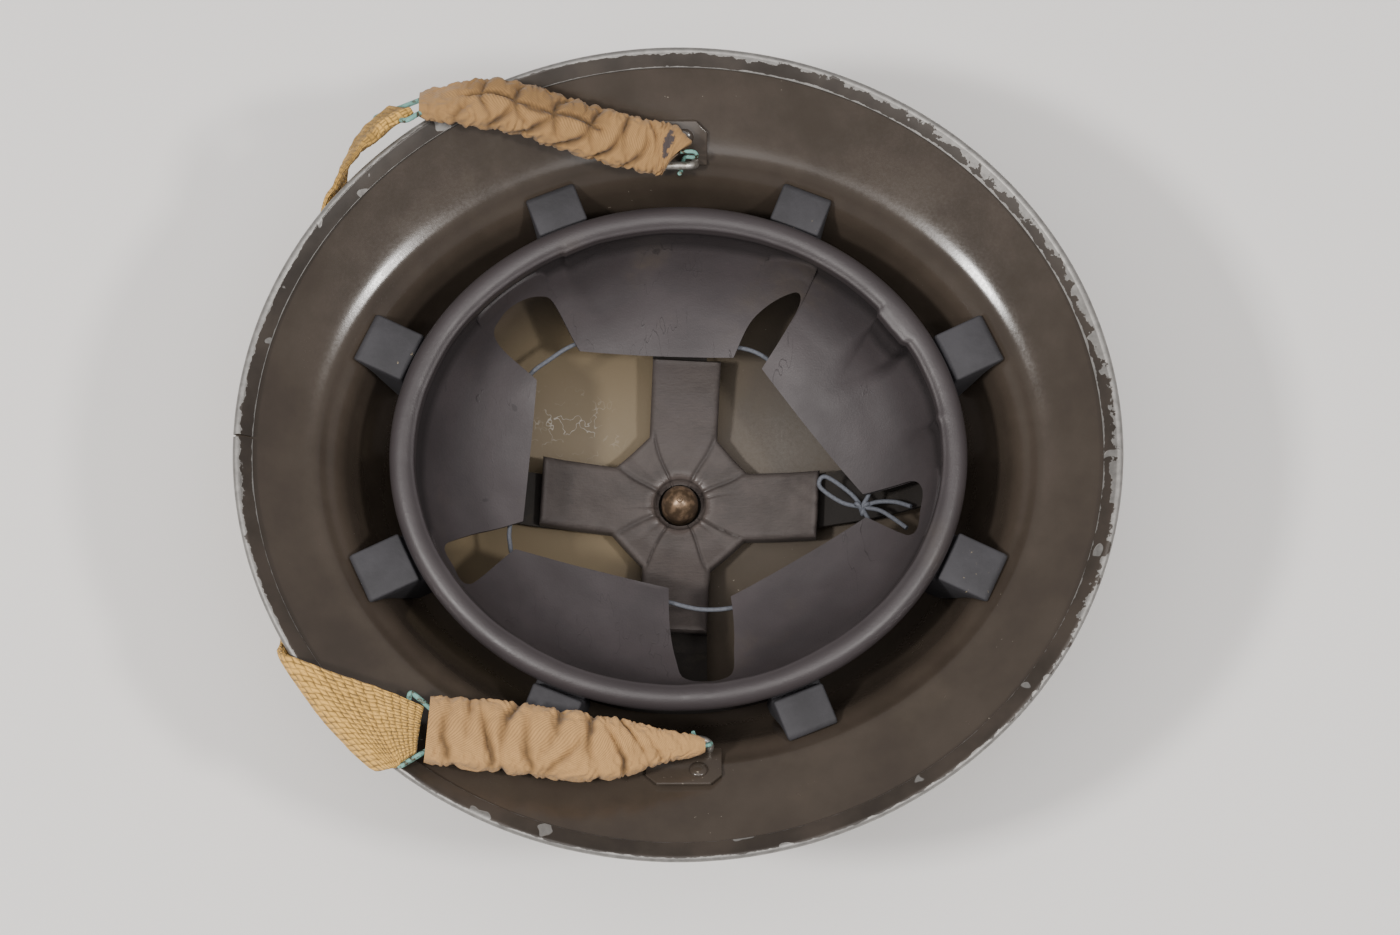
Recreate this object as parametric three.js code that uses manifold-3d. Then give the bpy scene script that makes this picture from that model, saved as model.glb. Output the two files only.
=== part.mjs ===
// Shallow pressed-steel combat helmet with a broad brim, lying on its crown with the hollow up.
// Millimetres, +Z up. X runs front to back with the front at -X, and +Y is the wearer's left.
import * as THREE from 'three';
import { mergeVertices } from 'three/addons/utils/BufferGeometryUtils.js';
import Module from 'manifold-3d';

// Driving dimensions of the shell and its rim
const RIM_LENGTH = 305; // front to back over the rim strip
const RIM_WIDTH = 287; // side to side over the rim strip
const RIM_HEIGHT = 113; // top of the rim above the surface under the crown
const SHEET = 1.0; // pressed steel of the shell
const GAP = 0.3; // clearance between neighbouring pieces
const SEGMENTS = 48; // steps round an oval
const STRIP_WIDTH = 6; // folded strip on the rim, each leg
const STRIP_THICK = 0.7;
const JOINT_TURN = 179; // butt joint of the rim strip, degrees
const JOINT_GAP = 0.4; // opening of that joint, degrees

// Inner face of the shell: half sizes of each oval section, from the crown hole to the edge
const SCREW_RADIUS = 3;
const SCREW_TOP = 12;
const HOLE_RADIUS = SCREW_RADIUS + GAP;
const EDGE_MARGIN = 1.5; // the strip stands this far outside the edge of the sheet
const EDGE_LENGTH = RIM_LENGTH / 2 - EDGE_MARGIN;
const EDGE_WIDTH = RIM_WIDTH / 2 - EDGE_MARGIN;
const EDGE_HEIGHT = RIM_HEIGHT - 1.05;
const SHELL_SECTIONS = [
  { at: 'hole', length: HOLE_RADIUS, width: HOLE_RADIUS, height: 2.35 },
  { at: 'crown', length: 23, width: 20, height: 4.3 },
  { at: 'crown slope', length: 46, width: 39.6, height: 10.4 },
  { at: 'dome', length: 67, width: 57.6, height: 20.6 },
  { at: 'shoulder', length: 85.5, width: 73.4, height: 34.4 },
  { at: 'side', length: 100, width: 86, height: 51.5 },
  { at: 'wall', length: 109.5, width: 94, height: 68 },
  { at: 'bend start', length: 114.8, width: 98.6, height: 80.5 },
  { at: 'bend', length: 118, width: 101.6, height: 86.2 },
  { at: 'crease', length: 123.2, width: 106.4, height: 90.4 },
  { at: 'bend end', length: 130.2, width: 113.6, height: 95 },
  { at: 'brim', length: 140, width: 127, height: 102.7 },
  { at: 'edge', length: EDGE_LENGTH, width: EDGE_WIDTH, height: EDGE_HEIGHT },
];

// Head band, rolled lining and buffers
const BAND = { length: 95.9, width: 85.3, thick: 1.6, bottom: 62, top: 93.6 };
const ROLL_RADIUS = 4.6;
const CLOTH = 1.4; // wall of the lining
const ROLL_SKIRT = 87; // lower edge of the lining outside the band
const BOWL = [
  { share: 0.45, height: 47 },
  { share: 0.6, height: 51.5 },
  { share: 0.74, height: 58 },
  { share: 0.86, height: 67.5 },
  { share: 0.925, height: 78 },
  { share: 0.952, height: 88 },
];
// Tongues of the lining: turns of the corners and of the roots, and the line that the tip is cut to
const TONGUES = [
  { name: 'rear', from: -4.7, to: 54.6, rootFrom: -0.6, rootTo: 54.8, facing: 37, reach: 49.4 },
  { name: 'left', from: 67.1, to: 127, rootFrom: 66.9, rootTo: 124.2, facing: 88.5, reach: 46.9 },
  { name: 'front', from: 144.4, to: 194.6, rootFrom: 144.9, rootTo: 195, facing: 175, reach: 54.6 },
  { name: 'right_front', from: 203.5, to: 264.4, rootFrom: 211, rootTo: 264.8, facing: 257, reach: 38 },
  { name: 'right_rear', from: 294, to: 348, rootFrom: 293.6, rootTo: 342, facing: 299.5, reach: 45.3 },
];
// Edge of the cut that follows each tongue: its turns and its shares of the band radius
const CUTS = [
  { turns: [55.2, 56.6, 59.6, 63.6, 66.2], shares: [0.862, 0.884, 0.86, 0.795, 0.72] },
  { turns: [126.2, 128.4, 133.5, 139.5, 143.8], shares: [0.88, 0.905, 0.922, 0.919, 0.89] },
  { turns: [195.6, 196.6, 198.9, 204.5, 209.8], shares: [0.7, 0.82, 0.912, 0.922, 0.916] },
  { turns: [266.7, 269.3, 271.2, 283.8, 287.6, 291.8], shares: [0.64, 0.79, 0.868, 0.882, 0.75, 0.6] },
  { turns: [343.6, 350, 355.6, 357.6], shares: [0.903, 0.908, 0.897, 0.865] },
];
const PLEATS = [
  { turn: 38.7, depth: 3.2 },
  { turn: 22, depth: 2.6 },
  { turn: 118.1, depth: 1.8 },
];
const PLEAT_SPREAD = 8.4; // degrees each side
const BUFFER = { across: 18.5, bottom: 62, step: 86.2, top: 92, lip: 5.5, corner: 1.6, clear: 1.5 };
const BUFFER_HEIGHTS = [63.6, 75, 82, 86.5, 90.4]; // where the outer face follows the wall
const BUFFER_TURNS = [20.5, 63.5, 116.5, 159.5, 200.5, 243.5, 296.5, 339.5];

// Crown bands, cross pad, screw and nut
const CROWN_BAND = { width: 20, thick: 1.5, hub: 4.0, length: 92.8, side: 83 };
const CROWN_BAND_LINE = [
  { share: 0, rise: 0 },
  { share: 0.12, rise: 0.25 },
  { share: 0.3, rise: 4.2 },
  { share: 0.52, rise: 13 },
  { share: 0.74, rise: 28.5 },
  { share: 0.91, rise: 47 },
  { share: 0.985, rise: 60 },
  { share: 1, rise: 71 },
];
const PAD = { arm: 51, half: 12.6, chamfer: 12, thick: 7.4, turn: -3, recess: 9.4 };
const PAD_SOFT = { edge: 1.4, hub: 0.5, splay: 0.024 }; // rounding, swell of the middle, lift outwards
const PAD_STATIONS = [16, 26, 34.5, 43, PAD.arm];
const HEAD = { radius: 8, flat: 6.6, thick: 1.05 };
const NUT = { radius: 6.8, height: 16, shoulder: 8 };

// Chin strap lugs on the brim, with the bar that each strap end hooks on
const LUGS = [
  { side: 'left', x: -3, y: 113 },
  { side: 'right', x: 2, y: -109 },
];
const LUG = { half: 13, inner: -7, outer: 9, clip: 4, thick: 1.2, lift: 1.05 };
const BAR = { half: 8.6, radius: 1.5, out: -6, lift: 7 };
const RIVET = { x: 5, out: 3, shank: 1.5, head: 3.2, dome: 1.3 };
const HOOK_RADIUS = 0.7;
const HOOK_LINE = [
  { x: 3.5, out: -0.2, lift: 11 },
  { x: 8.4, out: -0.3, lift: 11 },
  { x: 9.2, out: -2.4, lift: 9.6 },
  { x: 5.2, out: -3.1, lift: 6.6 },
  { x: 4.2, out: -6.0, lift: 4.3 },
  { x: 3.6, out: -8.7, lift: 6.4 },
  { x: 3.2, out: -8.6, lift: 8.2 },
];
const SLEEVE_TIP = { x: 7.2, out: -0.2, lift: 11 };

// Gathered sleeves: section centres after the tip, half sizes, and lean of the width
const SLEEVE_WALL = 1.2;
const SLEEVE_TIP_SIZE = { half: 4.4, deep: 3, lean: 6 };
const SLEEVES = {
  left: [
    { x: -10, y: 108.6, z: 105, half: 9.2, deep: 3.6, lean: 14 },
    { x: -32, y: 113.2, z: 109.4, half: 9.2, deep: 4.4, lean: 14 },
    { x: -61, y: 119.8, z: 117.8, half: 9.4, deep: 4.4, lean: 0 },
    { x: -89, y: 119.8, z: 119.6, half: 11.6, deep: 3.8, lean: -50 },
  ],
  right: [
    { x: -8, y: -103.4, z: 103, half: 8.8, deep: 3.8, lean: 12 },
    { x: -27, y: -104, z: 104.2, half: 12.6, deep: 4.6, lean: 16 },
    { x: -56, y: -101, z: 106.6, half: 13.4, deep: 4.8, lean: 20 },
    { x: -83, y: -98.6, z: 109.6, half: 12.6, deep: 4.1, lean: 25 },
  ],
};
// Gathers along a sleeve, from the tip: place, depth, and how far each slants across
const GATHERS = [
  { at: 0.2, depth: 0.4, slant: 0.02 },
  { at: 0.31, depth: 0.9, slant: 0.05 },
  { at: 0.4, depth: 1.2, slant: 0.03 },
  { at: 0.5, depth: 1.3, slant: -0.02 },
  { at: 0.59, depth: 1.1, slant: 0.02 },
  { at: 0.68, depth: 1.3, slant: -0.03 },
  { at: 0.77, depth: 1.2, slant: 0.03 },
  { at: 0.85, depth: 1.1, slant: 0.02 },
  { at: 0.93, depth: 0.9, slant: -0.02 },
];
const SLEEVE_SIDES = 8;

// Webbing over the front of the brim: both edges as degrees, share of the rim oval and height
const WEBBING_THICK = 2;
const WEBBING_HEM = 4.6; // doubled cloth round a link
const WEBBING = [
  { turnA: 226.3, reachA: 0.84, heightA: 105.2, turnB: 232.3, reachB: 0.972, heightB: 114.6 },
  { turnA: 219.5, reachA: 0.905, heightA: 110, turnB: 232, reachB: 0.99, heightB: 116.2 },
  { turnA: 212.3, reachA: 0.987, heightA: 115.6, turnB: 231.3, reachB: 1.006, heightB: 116.2 },
  { turnA: 209.8, reachA: 1.016, heightA: 112, turnB: 229.5, reachB: 1.026, heightB: 112 },
  { turnA: 207.3, reachA: 0.995, heightA: 105, turnB: 226, reachB: 0.992, heightB: 103 },
  { turnA: 199, reachA: 0.965, heightA: 97.5, turnB: 217.5, reachB: 0.915, heightB: 90.5 },
  { turnA: 191, reachA: 0.905, heightA: 91.5, turnB: 204, reachB: 0.835, heightB: 76 },
  { turnA: 180, reachA: 0.852, heightA: 88, turnB: 181, reachB: 0.758, heightB: 62 },
  { turnA: 166, reachA: 0.895, heightA: 91, turnB: 163, reachB: 0.825, heightB: 66.5 },
  { turnA: 156, reachA: 0.945, heightA: 95.5, turnB: 153, reachB: 0.888, heightB: 73 },
  { turnA: 148, reachA: 0.988, heightA: 101, turnB: 146.5, reachB: 0.945, heightB: 77.5 },
  { turnA: 141, reachA: 1.022, heightA: 110, turnB: 140.5, reachB: 1.0, heightB: 85.5 },
  { turnA: 135, reachA: 1.026, heightA: 119.5, turnB: 135.3, reachB: 1.043, heightB: 96 },
  { turnA: 127.9, reachA: 0.998, heightA: 126.4, turnB: 129.3, reachB: 1.06, heightB: 106.6 },
];
const WEBBING_STEPS = 30;
const LINK_RADIUS = 0.9;
const LINK = { inset: 2.4, depth: 1.4, clear: 3.8 };

// Lace that draws the tongues together behind their tips
const LACE_RADIUS = 1.0;
const LACE_INSET = 3.6; // behind the tip of a tongue
const KNOT = { x: 66, y: -9.2, z: 50.5, size: 2.6 };
const LACE_BOWS = [
  [
    { x: 61.5, y: -3.2, z: 48 },
    { x: 53, y: 3.6, z: 44 },
    { x: 51, y: 0, z: 43.4 },
    { x: 58.5, y: -6.4, z: 46.6 },
  ],
  [{ x: 72, y: -10.5, z: 51.5 }, { x: 77, y: -14, z: 53.5 }, { x: 81.5, y: -18, z: 56 }],
  [{ x: 71, y: -7.5, z: 51.5 }, { x: 77.5, y: -8, z: 54 }, { x: 83, y: -10.5, z: 58 }],
];

const wasm = await Module();
wasm.setup();
const Z_AXIS = new THREE.Vector3(0, 0, 1);
const toRad = THREE.MathUtils.degToRad;
const vec = (x, y, z) => new THREE.Vector3(x, y, z);

// Plain helpers

// Closed mesh through rings of points; `looped` joins the last ring to the first.
function loft(rings, looped = false) {
  const sides = rings[0].length;
  const positions = rings.flat().flatMap((p) => [p.x, p.y, p.z]);
  const index = [];
  const last = looped ? rings.length : rings.length - 1;
  for (let i = 0; i < last; i += 1) {
    const next = (i + 1) % rings.length;
    for (let j = 0; j < sides; j += 1) {
      const a = i * sides + j;
      const b = i * sides + ((j + 1) % sides);
      const c = next * sides + ((j + 1) % sides);
      const d = next * sides + j;
      index.push(a, b, c, a, c, d);
    }
  }
  if (!looped) {
    const foot = (rings.length - 1) * sides;
    for (let j = 1; j < sides - 1; j += 1) {
      index.push(0, j + 1, j, foot, foot + j, foot + j + 1);
    }
  }
  const geometry = new THREE.BufferGeometry();
  geometry.setAttribute('position', new THREE.Float32BufferAttribute(positions, 3));
  geometry.setIndex(index);
  return facingOut(geometry);
}

// Turns a closed mesh so that its faces look outwards.
function facingOut(geometry) {
  const p = geometry.getAttribute('position');
  const index = geometry.getIndex().array;
  const a = vec(0, 0, 0);
  const b = vec(0, 0, 0);
  const c = vec(0, 0, 0);
  let volume = 0;
  for (let i = 0; i < index.length; i += 3) {
    a.fromBufferAttribute(p, index[i]);
    b.fromBufferAttribute(p, index[i + 1]);
    c.fromBufferAttribute(p, index[i + 2]);
    volume += a.dot(b.cross(c));
  }
  if (volume < 0) {
    for (let i = 0; i < index.length; i += 3) {
      const held = index[i + 1];
      index[i + 1] = index[i + 2];
      index[i + 2] = held;
    }
  }
  return geometry;
}

// Plain closed position mesh from any three.js geometry.
function welded(geometry) {
  const copy = geometry.clone();
  copy.deleteAttribute('normal');
  copy.deleteAttribute('uv');
  return mergeVertices(copy, 1e-4);
}

function toManifold(geometry) {
  const plain = welded(geometry);
  const mesh = new wasm.Mesh({
    numProp: 3,
    vertProperties: new Float32Array(plain.getAttribute('position').array),
    triVerts: new Uint32Array(plain.getIndex().array),
  });
  return new wasm.Manifold(mesh);
}

function fromManifold(solid) {
  const mesh = solid.getMesh();
  const geometry = new THREE.BufferGeometry();
  geometry.setAttribute('position', new THREE.Float32BufferAttribute(mesh.vertProperties, 3));
  geometry.setIndex(Array.from(mesh.triVerts));
  return geometry;
}

function joined(geometries) {
  const solids = geometries.map(toManifold);
  return fromManifold(solids.reduce((whole, solid) => whole.add(solid)));
}

function cut(geometry, tools) {
  const solids = tools.map(toManifold);
  return fromManifold(solids.reduce((whole, solid) => whole.subtract(solid), toManifold(geometry)));
}

// Round wire or cord through points, with `sides` faces round it.
function wire(points, radius, { sides = 6, steps = 24, looped = false, tension = 0.5 } = {}) {
  const path = new THREE.CatmullRomCurve3(points, looped, 'catmullrom', tension);
  const frames = path.computeFrenetFrames(steps, looped);
  const count = looped ? steps : steps + 1;
  const rings = [];
  for (let i = 0; i < count; i += 1) {
    const centre = path.getPointAt(i / steps);
    const ring = [];
    for (let j = 0; j < sides; j += 1) {
      const angle = (2 * Math.PI * j) / sides;
      ring.push(
        centre.clone()
          .addScaledVector(frames.normals[i], radius * Math.cos(angle))
          .addScaledVector(frames.binormals[i], radius * Math.sin(angle)),
      );
    }
    rings.push(ring);
  }
  return loft(rings, looped);
}

// Closed loop of straight wire, mitred where it bends.
function bentLoop(points, radius, sides) {
  const count = points.length;
  const middle = points.reduce((sum, p) => sum.add(p), vec(0, 0, 0)).divideScalar(count);
  const axis = vec(0, 0, 0);
  points.forEach((p, n) => {
    const next = points[(n + 1) % count].clone().sub(middle);
    axis.add(p.clone().sub(middle).cross(next));
  });
  axis.normalize();
  const rings = points.map((p, n) => {
    const run = points[(n + 1) % count].clone().sub(points[(n + count - 1) % count]).normalize();
    const side = run.clone().cross(axis).normalize();
    const up = side.clone().cross(run);
    return Array.from({ length: sides }, (_, j) => {
      const angle = (2 * Math.PI * j) / sides;
      return p.clone()
        .addScaledVector(side, radius * Math.cos(angle))
        .addScaledVector(up, radius * Math.sin(angle));
    });
  });
  return loft(rings, true);
}

// Turned piece about +Z from radius and height pairs.
function turned(profile, segments) {
  const points = profile.map(([radius, height]) => new THREE.Vector2(radius, height));
  const geometry = new THREE.LatheGeometry(points, segments);
  geometry.rotateX(Math.PI / 2);
  return facingOut(dropFlat(welded(geometry)));
}

// Removes the empty triangles that a lathe leaves on its axis.
function dropFlat(geometry) {
  const old = geometry.getIndex().array;
  const kept = [];
  for (let i = 0; i < old.length; i += 3) {
    const [a, b, c] = [old[i], old[i + 1], old[i + 2]];
    if (a !== b && b !== c && c !== a) {
      kept.push(a, b, c);
    }
  }
  geometry.setIndex(kept);
  return geometry;
}

// Shell surface

const sectionCurve = new THREE.CatmullRomCurve3(
  SHELL_SECTIONS.map((row) => vec(row.length, row.width, row.height)),
  false,
  'catmullrom',
  0.5,
);
const LAST = SHELL_SECTIONS.length - 1;
const section = (k) => sectionCurve.getPoint(THREE.MathUtils.clamp(k / LAST, 0, 1));

function onShell(k, angle) {
  const oval = section(k);
  return vec(oval.x * Math.cos(angle), oval.y * Math.sin(angle), oval.z);
}

// Inner-face point with its outward run along the wall and its normal into the hollow.
function shellFrame(k, angle) {
  const step = 0.02;
  const point = onShell(k, angle);
  const nearer = onShell(Math.max(k - step, 0), angle);
  const out = onShell(Math.min(k + step, LAST), angle).sub(nearer).normalize();
  const along = onShell(k, angle + step).sub(onShell(k, angle - step)).normalize();
  const normal = along.clone().cross(out).normalize();
  if (normal.z < 0) {
    normal.negate();
  }
  return { point, out: along.clone().cross(normal).normalize(), along, normal };
}

// Section number whose oval passes through (x, y), or which lies at a height.
function sectionWhere(isBeyond) {
  let low = 0;
  let high = LAST;
  for (let i = 0; i < 40; i += 1) {
    const middle = (low + high) / 2;
    if (isBeyond(section(middle))) {
      high = middle;
    } else {
      low = middle;
    }
  }
  return (low + high) / 2;
}
const sectionThrough = (x, y) => sectionWhere((oval) => (x / oval.x) ** 2 + (y / oval.y) ** 2 < 1);
const sectionAtHeight = (z) => sectionWhere((oval) => oval.z > z);

function brimFrame(x, y) {
  const k = sectionThrough(x, y);
  const oval = section(k);
  const frame = shellFrame(k, Math.atan2(y / oval.y, x / oval.x));
  frame.along = vec(1, 0, 0).addScaledVector(frame.normal, -frame.normal.x).normalize();
  frame.out = frame.normal.clone().cross(frame.along);
  if (frame.out.dot(vec(x, y, 0)) < 0) {
    frame.out.negate();
  }
  return frame;
}

const angles = Array.from({ length: SEGMENTS }, (_, i) => (2 * Math.PI * i) / SEGMENTS);

function shellGeometry() {
  const rows = SHELL_SECTIONS.map((_, k) => k);
  const rings = angles.map((angle) => {
    const inner = rows.map((k) => onShell(k, angle));
    const outer = rows.map((k) => {
      const { point, normal } = shellFrame(k, angle);
      return point.addScaledVector(normal, -SHEET);
    });
    return [...inner, ...outer.reverse()];
  });
  return loft(rings, true);
}

// Folded strip: section as run past the edge and lift off the inner face
const STRIP_SECTION = [
  { run: -STRIP_WIDTH, lift: GAP },
  { run: -STRIP_WIDTH, lift: GAP + STRIP_THICK },
  { run: 0.4, lift: GAP + STRIP_THICK },
  { run: GAP + STRIP_THICK, lift: 0.3 },
  { run: GAP + STRIP_THICK, lift: -SHEET - 0.3 },
  { run: 0.4, lift: -SHEET - GAP - STRIP_THICK },
  { run: -STRIP_WIDTH, lift: -SHEET - GAP - STRIP_THICK },
  { run: -STRIP_WIDTH, lift: -SHEET - GAP },
  { run: GAP, lift: -SHEET - GAP },
  { run: GAP, lift: GAP },
];

function rimGeometry() {
  const start = toRad(JOINT_TURN + JOINT_GAP / 2);
  const sweep = toRad(360 - JOINT_GAP);
  const rings = [];
  for (let i = 0; i <= SEGMENTS; i += 1) {
    const { point, out, normal } = shellFrame(LAST, start + (sweep * i) / SEGMENTS);
    rings.push(STRIP_SECTION.map(({ run, lift }) => point.clone()
      .addScaledVector(out, run)
      .addScaledVector(normal, lift)));
  }
  return cappedLoft(rings, STRIP_SECTION.map(({ run, lift }) => new THREE.Vector2(run, lift)));
}

// Loft whose two end faces are not convex and take their triangles from a flat outline.
function cappedLoft(rings, outline) {
  const sides = outline.length;
  const geometry = loft(rings, false);
  const index = Array.from(geometry.getIndex().array);
  const walls = index.slice(0, (rings.length - 1) * sides * 6);
  const foot = (rings.length - 1) * sides;
  const faces = THREE.ShapeUtils.triangulateShape(outline, []);
  const flip = isFlipped(walls, faces, sides);
  for (const [a, b, c] of faces) {
    const near = flip ? [a, c, b] : [a, b, c];
    const far = flip ? [a, b, c] : [a, c, b];
    walls.push(...near, ...far.map((i) => i + foot));
  }
  geometry.setIndex(walls);
  return facingOut(geometry);
}

// True where a cap listed as (a, b, c) would run along a wall edge the same way as the wall does.
function isFlipped(walls, faces, sides) {
  const edges = new Set();
  for (let i = 0; i < sides * 6; i += 3) {
    const tri = walls.slice(i, i + 3);
    tri.forEach((v, n) => edges.add(`${v},${tri[(n + 1) % 3]}`));
  }
  return faces.some((tri) => tri.some((v, n) => edges.has(`${v},${tri[(n + 1) % 3]}`)));
}

// Lining

const bandRadius = (turn, grow = 0) => {
  const angle = toRad(turn);
  return 1 / Math.hypot(Math.cos(angle) / (BAND.length + grow), Math.sin(angle) / (BAND.width + grow));
};
const polar = (turn, radius, z) => vec(radius * Math.cos(toRad(turn)), radius * Math.sin(toRad(turn)), z);
const bowlCurve = new THREE.CatmullRomCurve3(BOWL.map((row) => vec(row.share, row.height / 100, 0)));

function bowlHeight(share) {
  let low = 0;
  let high = 1;
  for (let i = 0; i < 30; i += 1) {
    const middle = (low + high) / 2;
    if (bowlCurve.getPoint(middle).x > share) {
      high = middle;
    } else {
      low = middle;
    }
  }
  return bowlCurve.getPoint(low).y * 100;
}

const tipShare = (tongue, turn) => tongue.reach / Math.cos(toRad(turn - tongue.facing)) / bandRadius(turn);

// Columns of the lining: the turns where each leaves the roll and ends, and how far out it ends.
function liningColumns() {
  const columns = [];
  const widest = 10;
  TONGUES.forEach((tongue, n) => {
    const steps = Math.ceil((tongue.to - tongue.from) / widest);
    for (let i = 0; i <= steps; i += 1) {
      const turn = THREE.MathUtils.lerp(tongue.from, tongue.to, i / steps);
      const root = THREE.MathUtils.lerp(tongue.rootFrom, tongue.rootTo, i / steps);
      columns.push({ root, turn, share: tipShare(tongue, turn) });
    }
    const { turns, shares } = CUTS[n];
    turns.forEach((turn, i) => columns.push({ root: turn, turn, share: shares[i] }));
  });
  return columns;
}

const pleatDepth = (turn) => PLEATS.reduce((sum, pleat) => {
  const away = Math.abs(turn - pleat.turn) / PLEAT_SPREAD;
  return sum + pleat.depth * Math.max(0, 1 - away);
}, 0);

// Upper or lower face of the cloth bowl at a share of the band radius.
function bowlPoint(turn, share, depth) {
  const radius = bandRadius(turn);
  const height = bowlHeight(share);
  const rise = (bowlHeight(share + 0.01) - bowlHeight(share - 0.01)) / 0.02;
  const size = Math.hypot(rise, radius);
  return { radius: share * radius + (depth * rise) / size, z: height - (depth * radius) / size };
}

function liningGeometry() {
  const rollTurns = [-34, 22, 78, 134, 190];
  const bowlSteps = 3;
  const topShare = BOWL[BOWL.length - 1].share;
  const slot = BAND.thick / 2 + GAP;
  const skirt = slot + GAP;
  const rings = liningColumns().map(({ root, turn, share }) => {
    const middle = bandRadius(root);
    const pull = pleatDepth(root);
    const roll = rollTurns.map((degrees) => {
      const inward = Math.max(0, -Math.cos(toRad(degrees)));
      return polar(
        root,
        middle + ROLL_RADIUS * Math.cos(toRad(degrees)) - pull * inward * 0.5,
        BAND.top + ROLL_RADIUS * Math.sin(toRad(degrees)),
      );
    });
    const upper = [];
    const lower = [];
    for (let i = 0; i <= bowlSteps; i += 1) {
      const at = THREE.MathUtils.lerp(root, turn, i / bowlSteps);
      const here = THREE.MathUtils.lerp(topShare, share, (i / bowlSteps) ** 0.85);
      const fade = pull * Math.max(0, 1 - i / 2);
      const top = bowlPoint(at, here, 0);
      const under = bowlPoint(at, here, CLOTH);
      upper.push(polar(at, top.radius - fade, top.z));
      lower.unshift(polar(at, under.radius - fade, under.z));
    }
    return [
      polar(root, middle + skirt, ROLL_SKIRT),
      polar(root, middle + skirt + CLOTH, ROLL_SKIRT),
      ...roll,
      ...upper,
      ...lower,
      polar(root, middle - slot, BAND.top + GAP),
      polar(root, middle + skirt, BAND.top + GAP),
    ];
  });
  return loft(rings, true);
}

function headbandGeometry() {
  const half = BAND.thick / 2;
  const rings = angles.map((angle) => {
    const outline = [[half, BAND.bottom], [half, BAND.top], [-half, BAND.top], [-half, BAND.bottom]];
    return outline.map(([offset, z]) => vec(
      (BAND.length + offset) * Math.cos(angle),
      (BAND.width + offset) * Math.sin(angle),
      z,
    ));
  });
  return loft(rings, true);
}

// Distance from a point, along a flat direction, to the oval of the shell at a height.
function reachToWall(point, direction, z) {
  const oval = section(sectionAtHeight(z));
  let low = 0;
  let high = 40;
  for (let i = 0; i < 40; i += 1) {
    const middle = (low + high) / 2;
    const x = (point.x + direction.x * middle) / oval.x;
    const y = (point.y + direction.y * middle) / oval.y;
    if (x * x + y * y > 1) {
      high = middle;
    } else {
      low = middle;
    }
  }
  return low;
}

// Rubber block between the head band and the wall, as a side profile carried across.
function bufferGeometry(turn) {
  const angle = toRad(turn);
  const foot = vec(bandRadius(turn) * Math.cos(angle), bandRadius(turn) * Math.sin(angle), 0);
  const away = vec(foot.x / BAND.length ** 2, foot.y / BAND.width ** 2, 0).normalize();
  const across = away.clone().cross(Z_AXIS);
  const inner = BAND.thick / 2 + GAP;
  const face = BUFFER_HEIGHTS.map((z) => ({ run: reachToWall(foot, away, z) - BUFFER.clear, z }));
  const profile = [
    { run: inner, z: BUFFER.bottom },
    { run: face[0].run - BUFFER.corner, z: BUFFER.bottom },
    ...face,
    { run: face[face.length - 1].run - BUFFER.corner, z: BUFFER.top },
    { run: BUFFER.lip, z: BUFFER.top },
    { run: BUFFER.lip - 0.6, z: BUFFER.step },
    { run: inner, z: BUFFER.step },
  ];
  const rings = [-0.5, 0.5].map((side) => profile.map(({ run, z }) => foot.clone()
    .addScaledVector(away, run)
    .addScaledVector(across, side * BUFFER.across)
    .setZ(z)));
  return cappedLoft(rings, profile.map(({ run, z }) => new THREE.Vector2(run, z)));
}

// Crown

const crownRise = new THREE.CatmullRomCurve3(
  CROWN_BAND_LINE.map((row) => vec(row.share, row.rise / 100, 0)),
);

// Flat strip bent to the crown, along X, as a side outline carried across its width.
function crownStrip(reach) {
  const count = 9;
  const line = [];
  for (let i = 0; i <= count; i += 1) {
    const at = crownRise.getPoint(i / count);
    line.push(new THREE.Vector2(at.x * reach, at.y * 100 + CROWN_BAND.hub + CROWN_BAND.thick / 2));
  }
  const whole = [...line.slice(1).reverse().map((p) => new THREE.Vector2(-p.x, p.y)), ...line];
  const side = (offset) => whole.map((p, i) => {
    const before = whole[Math.max(i - 1, 0)];
    const after = whole[Math.min(i + 1, whole.length - 1)];
    const run = after.clone().sub(before).normalize();
    return p.clone().add(new THREE.Vector2(-run.y, run.x).multiplyScalar(offset));
  });
  const half = CROWN_BAND.thick / 2;
  const shape = new THREE.Shape([...side(-half), ...side(half).reverse()]);
  const strip = new THREE.ExtrudeGeometry(shape, { depth: CROWN_BAND.width, bevelEnabled: false });
  strip.translate(0, 0, -CROWN_BAND.width / 2);
  strip.rotateX(Math.PI / 2);
  return strip;
}

function crownBandsGeometry() {
  const side = crownStrip(CROWN_BAND.side);
  side.rotateZ(Math.PI / 2);
  const bore = turned([[0, 0], [HOLE_RADIUS, 0], [HOLE_RADIUS, 2 * SCREW_TOP], [0, 2 * SCREW_TOP]], 12);
  return cut(joined([crownStrip(CROWN_BAND.length), side]), [bore]);
}

// Rise of the crown bands at a distance from the middle, on the long or the short strip.
function bandRise(distance, reach) {
  let low = 0;
  let high = 1;
  for (let i = 0; i < 30; i += 1) {
    const middle = (low + high) / 2;
    if (crownRise.getPoint(middle).x * reach > distance) {
      high = middle;
    } else {
      low = middle;
    }
  }
  return crownRise.getPoint(low).y * 100;
}

// Under side of the pad at a place in plan, just clear of the bands.
function padSeat(x, y) {
  const rise = Math.max(bandRise(Math.abs(x), CROWN_BAND.length), bandRise(Math.abs(y), CROWN_BAND.side));
  return CROWN_BAND.hub + CROWN_BAND.thick + GAP + rise + PAD_SOFT.splay * Math.hypot(x, y);
}

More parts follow.
